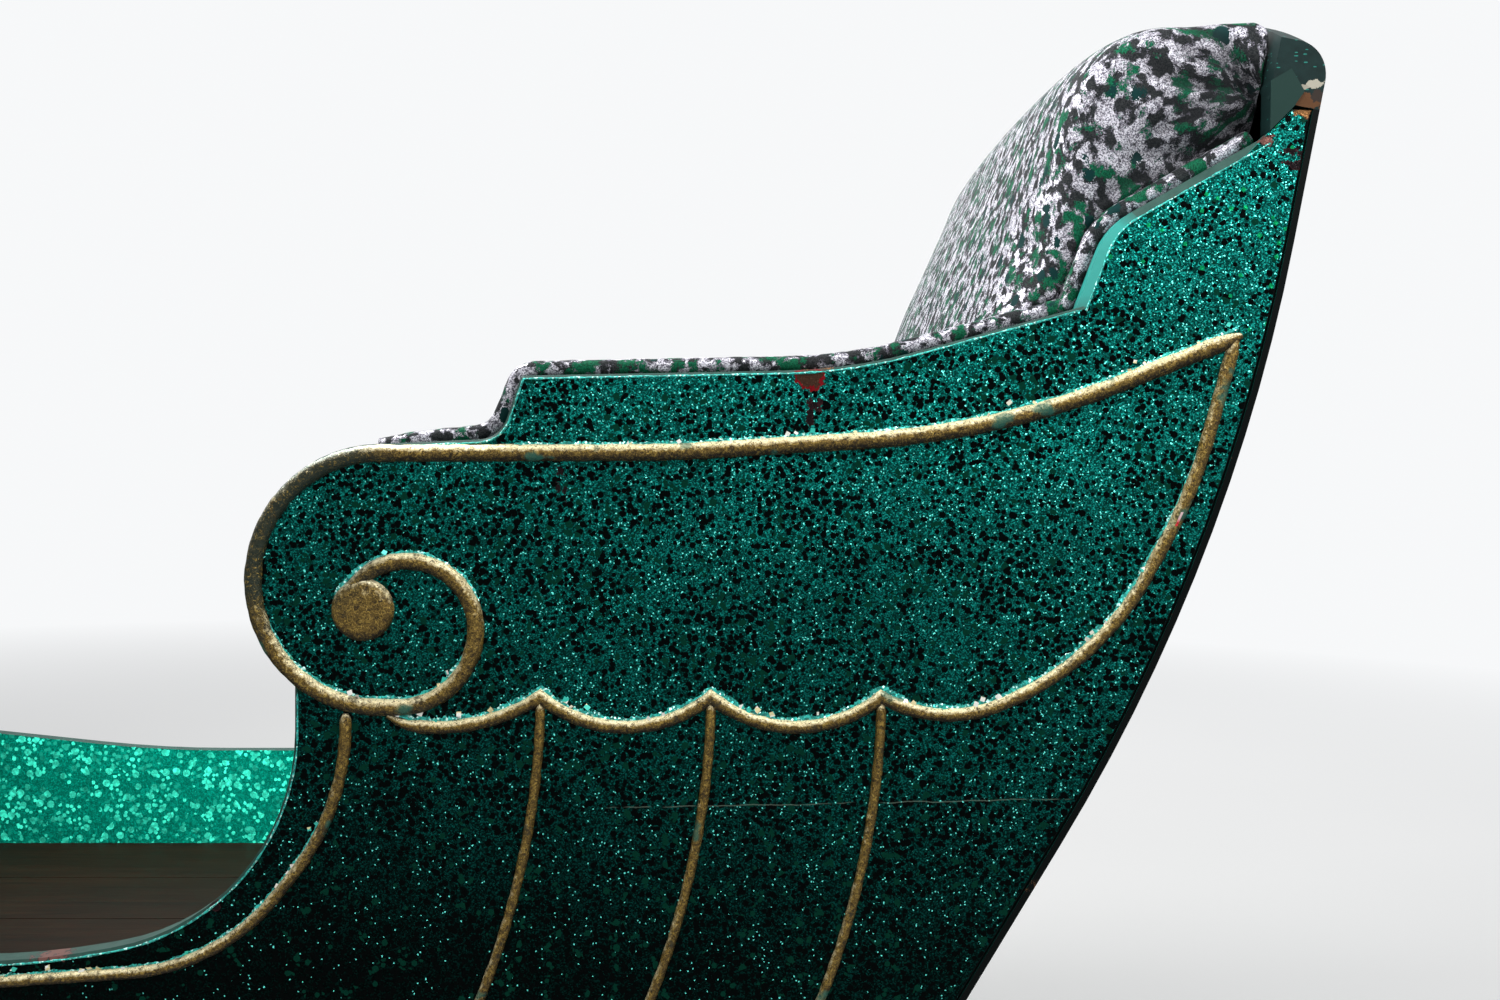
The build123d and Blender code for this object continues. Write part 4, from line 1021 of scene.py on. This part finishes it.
gathers = {
    "half": 0.4725, "foot": 0.8135, "proud": 8.0, "rollDepth": 0.021, "rollWidth": 15.0, "corner": 0.028,
    # Which way a valley is pushed in, as a share of its depth, and how far its puffs stand out
    "push": (0.35, -0.75, -0.55), "puff": 0.22,
    # Full folds fanned round each top corner with narrow valleys between them. Each valley:
    # start, end, depth, width; the deepest lies above the sewn roll
    "valleys": [
        ((479, 1297), (350, 1259), 20.0, 9.0), ((481, 1306), (368, 1291), 11.0, 6.5),
        ((483, 1314), (386, 1318), 12.0, 7.0), ((483, 1322), (368, 1352), 13.0, 7.5),
        ((481, 1332), (400, 1374), 11.0, 6.5), ((476, 1344), (420, 1395), 10.0, 6.5),
        ((440, 1280), (322, 1218), 9.0, 8.0),
    ],
    # The point that the pattern is drawn out to, how much, and over what length
    "drawnTo": (0.486, 0.470, 1.322), "draw": 0.55, "drawReach": 0.2,
}
backCushion = paddedSlab("backCushion", backOutline, 0, *seat["backSlab"])
swell(backCushion, *stuffing["back"])
subdivided(backCushion)
points = vertices(backCushion)
# It rests flat on the inner back and the crest, and between the boards
half = gathers["half"]
points[:, 1] = np.clip(points[:, 1], -half, half)
z = points[:, 2] / mm
crestFace = np.interp(z, [seat["innerTop"], 1278, 1600], [444.0, 475.5, 538.0])
limit = seatMiddle + np.where(z < seat["innerTop"], innerBack(z) - 1.0, crestFace) * mm
points[:, 0] = np.minimum(points[:, 0], limit)
points[:, 2] = np.maximum(points[:, 2], gathers["foot"])
# Its top stands proud of the crest, and its ends are stuffed close up to it
aside = np.abs(points[:, 1])
share = between(aside, 0, 0.47)
rise = between(z, 1290, 1380)
points[:, 2] += gathers["proud"] * mm * rise * rise * (3 - 2 * rise) * (0.5 + 0.5 * share**2)
toCrest = (limit - points[:, 0]) / mm
full = between(aside, 0.40, 0.45) * between(z, 1250, 1280)
points[:, 0] += full * (toCrest - np.where(toCrest < 75, np.maximum(toCrest - 30, 0) * 75 / 45, toCrest)) * mm
close = full * between(toCrest, 75, 30) * between(aside, 0.435, 0.445)
points[:, 1] += np.sign(points[:, 1]) * close * 0.85 * (half - aside)
# A crease where the sewn roll lies against the cushion's ends
near = np.full(len(points), 99.0)
atEnd = np.abs(points[:, 1]) > 0.42
place = np.stack([(points[:, 0] - seatMiddle) / mm, points[:, 2] / mm], 1)
near[atEnd] = np.min(np.linalg.norm(place[atEnd, None] - sewnLine[None, ::2], axis=2), axis=1)
most = half - gathers["rollDepth"] * np.exp(-((near / gathers["rollWidth"]) ** 2))
points[:, 1] = np.clip(points[:, 1], -most, most)
# The gathers that run in to each top corner, and how deep each point lies in one, kept for the painted shade in the
# creases
creaseShade = np.zeros(len(points))
atEnd = between(np.abs(points[:, 1]), 0.30, 0.43)
for start, end, depth, width in gathers["valleys"]:
    run = np.subtract(end, start).astype(float)
    length = np.hypot(*run)
    along = (place - start) @ run / length**2
    wander = 3.0 * np.sin(along * 7 + depth) * (0.4 + share)
    off = (place - start) @ np.array([-run[1], run[0]]) / length + wander
    fade = atEnd * between(along, 1, 0) ** 0.7 * between(along, -0.2, 0)
    cut = fade * np.exp(-((off / width) ** 2))
    puff = fade * np.exp(-(((np.abs(off) - 2.4 * width) / (1.2 * width)) ** 2))
    sideways = np.stack([np.ones(len(points)), np.sign(points[:, 1]), np.ones(len(points))], 1)
    points += sideways * gathers["push"] * ((cut - puff * gathers["puff"]) * depth * mm)[:, None]
    creaseShade = np.maximum(creaseShade, cut**0.5 * min(1.0, depth / 10))
points[:, 1] = np.clip(points[:, 1], -half - 0.0003, half + 0.0003)
points[:, 0] = np.minimum(points[:, 0], limit)
# Its top corners beside the crest are rounded: what lies outside a circle is drawn in to it
corner = gathers["corner"]
dx = points[:, 0] - (limit - corner)
dz = points[:, 2] - (points[np.abs(points[:, 1]) > 0.44, 2].max() - corner)
r = np.maximum(np.hypot(dx, dz), 1e-6)
drawn = full * np.where((dx > 0) & (dz > 0) & (r > corner), 1 - corner / r, 0)
points[:, 0] -= dx * drawn
points[:, 2] -= dz * drawn
setVertices(backCushion, points)
# The pattern is drawn out towards the corners: its distance r from a corner becomes
# r - draw·(r - 0.06)·exp(-(r / reach)²)
shift = np.zeros((len(points), 3))
for _, sign in sides:
    away = points - (np.array(gathers["drawnTo"]) * (1, sign, 1) + (seatMiddle, 0, 0))
    r = np.maximum(np.linalg.norm(away, axis=1), 1e-6)
    pull = gathers["draw"] * (r - 0.06) * np.exp(-((r / gathers["drawReach"]) ** 2))
    shift -= away * (pull / r)[:, None]
backCushion.data.attributes.new("weave", "FLOAT_VECTOR", "POINT").data.foreach_set("vector", shift.ravel())
backCushion.data.attributes.new("creaseShade", "FLOAT", "POINT").data.foreach_set("value", creaseShade)
dress(backCushion, finishes["brocade"])
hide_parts("back_cushion")
print("back cushion", len(backCushion.data.polygons))


def seatOutline(share):
    crown = 9 * (1 - share**2)
    back, foot = seat["backFoot"] - 4, seat["boardTop"]
    return roundedLine([
        (back, foot, 0), (seat["frontX"] + 8, foot, 22), (seat["frontX"] + 2, 800, 34),
        (-90, 803 + crown, 900), (back + 40, 803 + crown * 0.4, 14), (back + 2, foot + 2, 0),
    ])


seatCushion = paddedSlab("seatCushion", seatOutline, 0, *seat["cushionSlab"])
swell(seatCushion, *stuffing["seat"])
points = vertices(seatCushion)
for axis, room in zip((1, 2), seat["cushionRoom"]):
    points[:, axis] = np.clip(points[:, axis], *room)
points[:, 0] = np.minimum(points[:, 0], seatMiddle + (innerBack(points[:, 2] / mm) - 1.5) * mm)
setVertices(seatCushion, points)
subdivided(seatCushion)
dress(seatCushion, finishes["brocade"])
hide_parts("seat_cushion")

# Piping round the seat cushion's top edge: a rounded rectangle, from the middle of its long side
pipe = {"radius": 5.0, "z": 797.0, "front": -409.0, "rear": 262.0, "half": 374.0, "corner": 34.0}
turns = [(pipe[end], side * pipe["half"], pipe["corner"])
         for end, side in (("front", 1), ("front", -1), ("rear", -1), ("rear", 1))]
ring = roundedLine([(0, pipe["half"], 0), *turns, (0, pipe["half"], 0)], 8.0)[:-1]
seatPiping = tube("seatPiping", placed(ring[:, 0], ring[:, 1] * mm, pipe["z"]), pipe["radius"] * mm, 10, True, 0.04, 5)
dress(seatPiping, finishes["brocade"])
print("seat cushion", len(seatCushion.data.polygons))


def padOutline(share):
    top = seat["armTop"] + 9 + 4 * (1 - share**2)
    foot, scroll = seat["boardTop"] + 0.4, seat["scrollTop"]
    return roundedLine([
        (222, foot, 0), (222, 808, 10), (117, 810, 8), (223, top + 26, 12), (95, top + 6, 500), (-208, top, 55),
        (-266, scroll + 4, 70), (-345, scroll - 5, 60), (-412, scroll - 50, 40), (-412, foot, 8),
    ])


for sideName, sign in sides:
    pad = paddedSlab(f"armPad_{sideName}", padOutline, sign * seat["armMiddle"], *seat["armSlab"])
    swell(pad, *stuffing["arm"])
    points = vertices(pad)
    points[:, 1] = np.clip(points[:, 1], *sorted(sign * edge for edge in seat["padRoom"]))
    points[:, 2] = np.maximum(points[:, 2], seat["padFoot"])
    # Its foot runs back under the back cushion
    behind, below, downTo = seat["tuck"]
    under = (points[:, 0] > seatMiddle + behind) & (points[:, 2] < below)
    points[:, 2] = np.where(under, np.minimum(points[:, 2], downTo), points[:, 2])
    # A slight uneven lift of the stuffing along the arm
    along = (points[:, 0] - seatMiddle) / mm
    lift = waves(along, 3 + sign, (90.0, 47.0, 29.0, 19.0)) * seat["padLift"] * mm
    points[:, 2] += np.where(points[:, 2] > 0.95, lift, 0)
    setVertices(pad, points)
    subdivided(pad)
    dress(pad, finishes["brocade"])
    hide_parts(f"arm_pad_{sideName}")

    roll = tube(f"edgeRoll_{sideName}", placed(sewnLine[:, 0], sign * seat["rollPlace"], sewnLine[:, 1]),
                seat["rollRadius"] * mm, 14, False, 0.06, 21 + sign)
    dress(roll, finishes["brocade"])
print("arm pads and rolls done")


def heads(name, table, body="root"):
    # Bolt heads in one mesh. Each: place, axis, radius, height, sides: 6 for a nut with flat
    # faces, more for a dome whose profile falls as a quarter circle
    points, faces, count = [], [], 0
    for (x, y, z), axis, radius, height, sides in table:
        u = np.cross(axis, (0.0, 0.3, 1.0))
        u /= np.linalg.norm(u)
        v = np.cross(axis, u)
        if sides == 6:
            rim = [(1.0, 0.82), (0.88, 1.0), (0.0, 1.0)]
        else:
            t = np.linspace(0, math.pi / 2, 6)
            rim = np.stack([np.cos(t), np.sin(t)], 1)
        profile = np.vstack([(0.0, -0.15), (1.0, -0.15), rim])
        profile[[0, -1], 0] = 0.02
        a = np.linspace(0, fullTurn, sides, endpoint=False)[:, None]
        ring = np.cos(a) * u + np.sin(a) * v
        grid = ring * profile[:, :1, None] * radius * mm + np.array(axis) * profile[:, 1:, None] * height * mm
        points.append((grid + placed(x, y * mm, z)).reshape(-1, 3))
        faces += cappedFaces(len(profile), sides, count)
        count += len(points[-1])
    return dress(addMesh(name, np.concatenate(points), faces, False), finishes["iron"], body)


gear = {
    "track": 420.0, "beams": (-990.0, -550.0, -110.0), "hinge": (-1690.0, 262.0), "droop": 0.11518,
    "shaft": (36.0, 46.0, 30.0), "taperFrom": 480.0, "length": 2150.0, "tipHalf": 300.0, "crossbar": 430.0,
    # Bolts on each side of a runner, from a beam's middle and from the hinge; each head's
    # radius, height and sides
    "boltSpots": ((-44, 71), (44, 71), (-32, 226), (32, 226)), "hingeBolts": (92, 122),
    "carriageHead": (8.0, 5.0, 16), "hingeHead": (9.0, 6.5), "washer": (13.0, 2.5, 24), "rivet": (8.6, 4.0, 16),
    "crossbarHead": (7.0, 3.4, 16), "crossbarTop": 53.0,
}
hingeX, hingeZ = gear["hinge"]
bolts = []
for _, sign in sides:
    for face in (-1, 1):
        out = (0, face, 0)
        at = sign * gear["track"] + face * 20.0
        for x in gear["beams"]:
            bolts += [((x + dx, at, z), out, *gear["carriageHead"])
                      for dx, z in gear["boltSpots"]]
        at = sign * gear["track"] + face * 30.0
        # A nut on the runner's outer side, a domed head on its inner side
        corners = 6 if face * sign > 0 else 16
        bolts += [((hingeX + dx, at, hingeZ), out, *gear["hingeHead"], corners) for dx in gear["hingeBolts"]]
        # A washer and a riveted head on each end of the hinge pin
        bolts += [((hingeX, at, hingeZ), out, *gear["washer"]), ((hingeX, at + face * 6, hingeZ), out, *gear["rivet"])]
heads("carriageBolts", bolts)

droopCos, droopSin = math.cos(gear["droop"]), math.sin(gear["droop"])


def shaftPlace(along, above, y):
    # A place on the shafts: forward along them from the hinge, and above their middle
    return hingeX - along * droopCos - above * droopSin, y, hingeZ - along * droopSin + above * droopCos


def shaftY(along):
    return gear["track"] + (gear["tipHalf"] - gear["track"]) * along / gear["length"]


crossbarY = shaftY(gear["crossbar"])
heads("crossbarBolts", [
    (shaftPlace(gear["crossbar"] + dx, gear["crossbarTop"], sign * crossbarY), (-droopSin, 0, droopCos),
     *gear["crossbarHead"]) for _, sign in sides for dx in (-13, 13)
], "shafts")


def wrap(name, sign, begin, end, grow, ridges, finish, slot):
    # A band close round a shaft: the shaft's rounded section, grown a little, at each step;
    # with ridges, it swells as |sin| like a strap wound round and round
    along = np.linspace(begin, end, max(int((end - begin) / 3), 3))[:, None]
    share = between(along, gear["taperFrom"], gear["length"])
    width, height, tip = gear["shaft"]
    wide, high = (size + (tip - size) * share for size in (width, height))
    a = np.linspace(0, fullTurn, 36, endpoint=False)
    # A rounded square: cos and sin raised to a power, keeping their signs
    across, over = (np.sign(wave) * np.abs(wave) ** 0.42 for wave in (np.cos(a), np.sin(a)))
    thick = grow + ridges * np.abs(np.sin((along - begin) * math.pi / 22))
    thick = thick - np.where((along == begin) | (along == end), grow + 1.2, 0)
    x, y, z = shaftPlace(along, over * (high / 2 + thick), sign * shaftY(along) + across * (wide / 2 + thick))
    return dress(addMesh(name, placed(x, y * mm, z), cappedFaces(len(along), len(a))), finish, "shafts")


# Bands and wraps on each shaft: where each begins and ends, how thick it is, how ridged
iron, strap = (finishes["iron"], "iron"), (leather, "shaft_wood")
bands = {
    "shaftFerrule": (58, 128, 1.6, 0.0, *iron), "shaftBand": (520, 548, 1.6, 0.0, *iron),
    "tugWrap": (1240, 1460, 2.2, 1.3, *strap), "tugStop": (1466, 1484, 5.0, 0.0, *strap),
    "tipBand": (2010, 2034, 1.6, 0.0, *iron),
}
for sideName, sign in sides:
    for label, band in bands.items():
        wrap(f"{label}_{sideName}", sign, *band)
print("bolts, bands and wraps done")


# A pale floor that fades into the backdrop's own shade away from the sleigh; the backdrop is
# dimmer as a light than where it is seen
studio = {"backdrop": rgb(0.93, 0.94, 0.95), "fade": (2.0, 7.0), "glow": (0.28, 1.0), "light": 0.26, "floor": 14.0}
p = Paint("studioFloor")
fade = p.ramp(p.vector("LENGTH", p.coord, out=1), *studio["fade"])
plain = p.mix(p.noise(0.7), rgb(0.80, 0.80, 0.79), rgb(0.84, 0.84, 0.83))
floorFinish = p.set(Base_Color=p.mix(fade, plain, rgb(0, 0, 0)), Roughness=0.8, Specular_IOR_Level=0.0,
                    Emission_Color=studio["backdrop"], Emission_Strength=p.mix(fade, *studio["glow"], "FLOAT"))
corners = [(x * studio["floor"], y * studio["floor"], 0) for x, y in ((-1, -1), (1, -1), (1, 1), (-1, 1))]
floor = addMesh("studioFloor_stage", corners, [(0, 1, 2, 3)], False, False)
floor.data.materials.append(floorFinish)

scene.world = bpy.data.worlds.new("studio")
p = Paint("studio", scene.world)
ray = p.parts("LightPath")
seen = p.math("MAXIMUM", p.math("MAXIMUM", ray["Is Camera Ray"], ray["Is Glossy Ray"]), ray["Is Transmission Ray"])
p.set(Color=studio["backdrop"], Strength=p.ramp(seen, 0.0, 1.0, studio["light"], 1.0))

# Lamps: name, place and aim from the middle of the seat, size, power
lamps = [
    ("keyLamp", (1.15, -1.35, 2.05), (0.30, -0.5, 1.05), 0.6, 15),
    ("topLamp", (0.15, -0.86, 1.98), (0.1, -0.5, 1.1), 0.6, 10),
    ("fillLamp", (-2.6, -3.4, 2.0), (-0.4, 0.0, 0.7), 2.4, 8),
    ("backLamp", (0.4, 3.6, 3.0), (0.0, 0.0, 0.9), 2.6, 50),
    ("insideLamp", (-0.75, -0.05, 1.10), (-0.85, 0.475, 0.62), 0.3, 11),
    ("seatLamp", (-0.7, -0.1, 1.95), (0.25, -0.1, 1.15), 0.6, 26),
]
for name, place, aim, size, power in lamps:
    data = bpy.data.lights.new(name, "AREA")
    data.size = size
    data.energy = power
    lamp = bpy.data.objects.new(name, data)
    lamp.location = Vector(place) + Vector((seatMiddle, 0, 0))
    lamp.rotation_euler = (Vector(aim) - Vector(place)).to_track_quat("-Z", "Y").to_euler()
    scene.collection.objects.link(lamp)

# The photo's view: 1500 by 1000 pixels, each as wide as perPixel at the near board
view = {"lens": 35.0, "sensor": 36, "size": (1500, 1000), "perPixel": 0.93, "eyeHeight": 0.980, "horizonRow": 455}
wide, high = view["size"]
cameraData = bpy.data.cameras.new("photoView")
cameraData.lens = view["lens"]
cameraData.sensor_width = view["sensor"]
cameraData.shift_y = -(high / 2 - view["horizonRow"]) / wide
camera = bpy.data.objects.new("photoView", cameraData)
distance = view["lens"] / view["sensor"] * wide * view["perPixel"] * mm
camera.location = (seatMiddle, -boardFace - distance, view["eyeHeight"])
camera.rotation_euler = (math.pi / 2, 0, 0)
scene.collection.objects.link(camera)
scene.camera = camera

scene.view_settings.view_transform = "Standard"
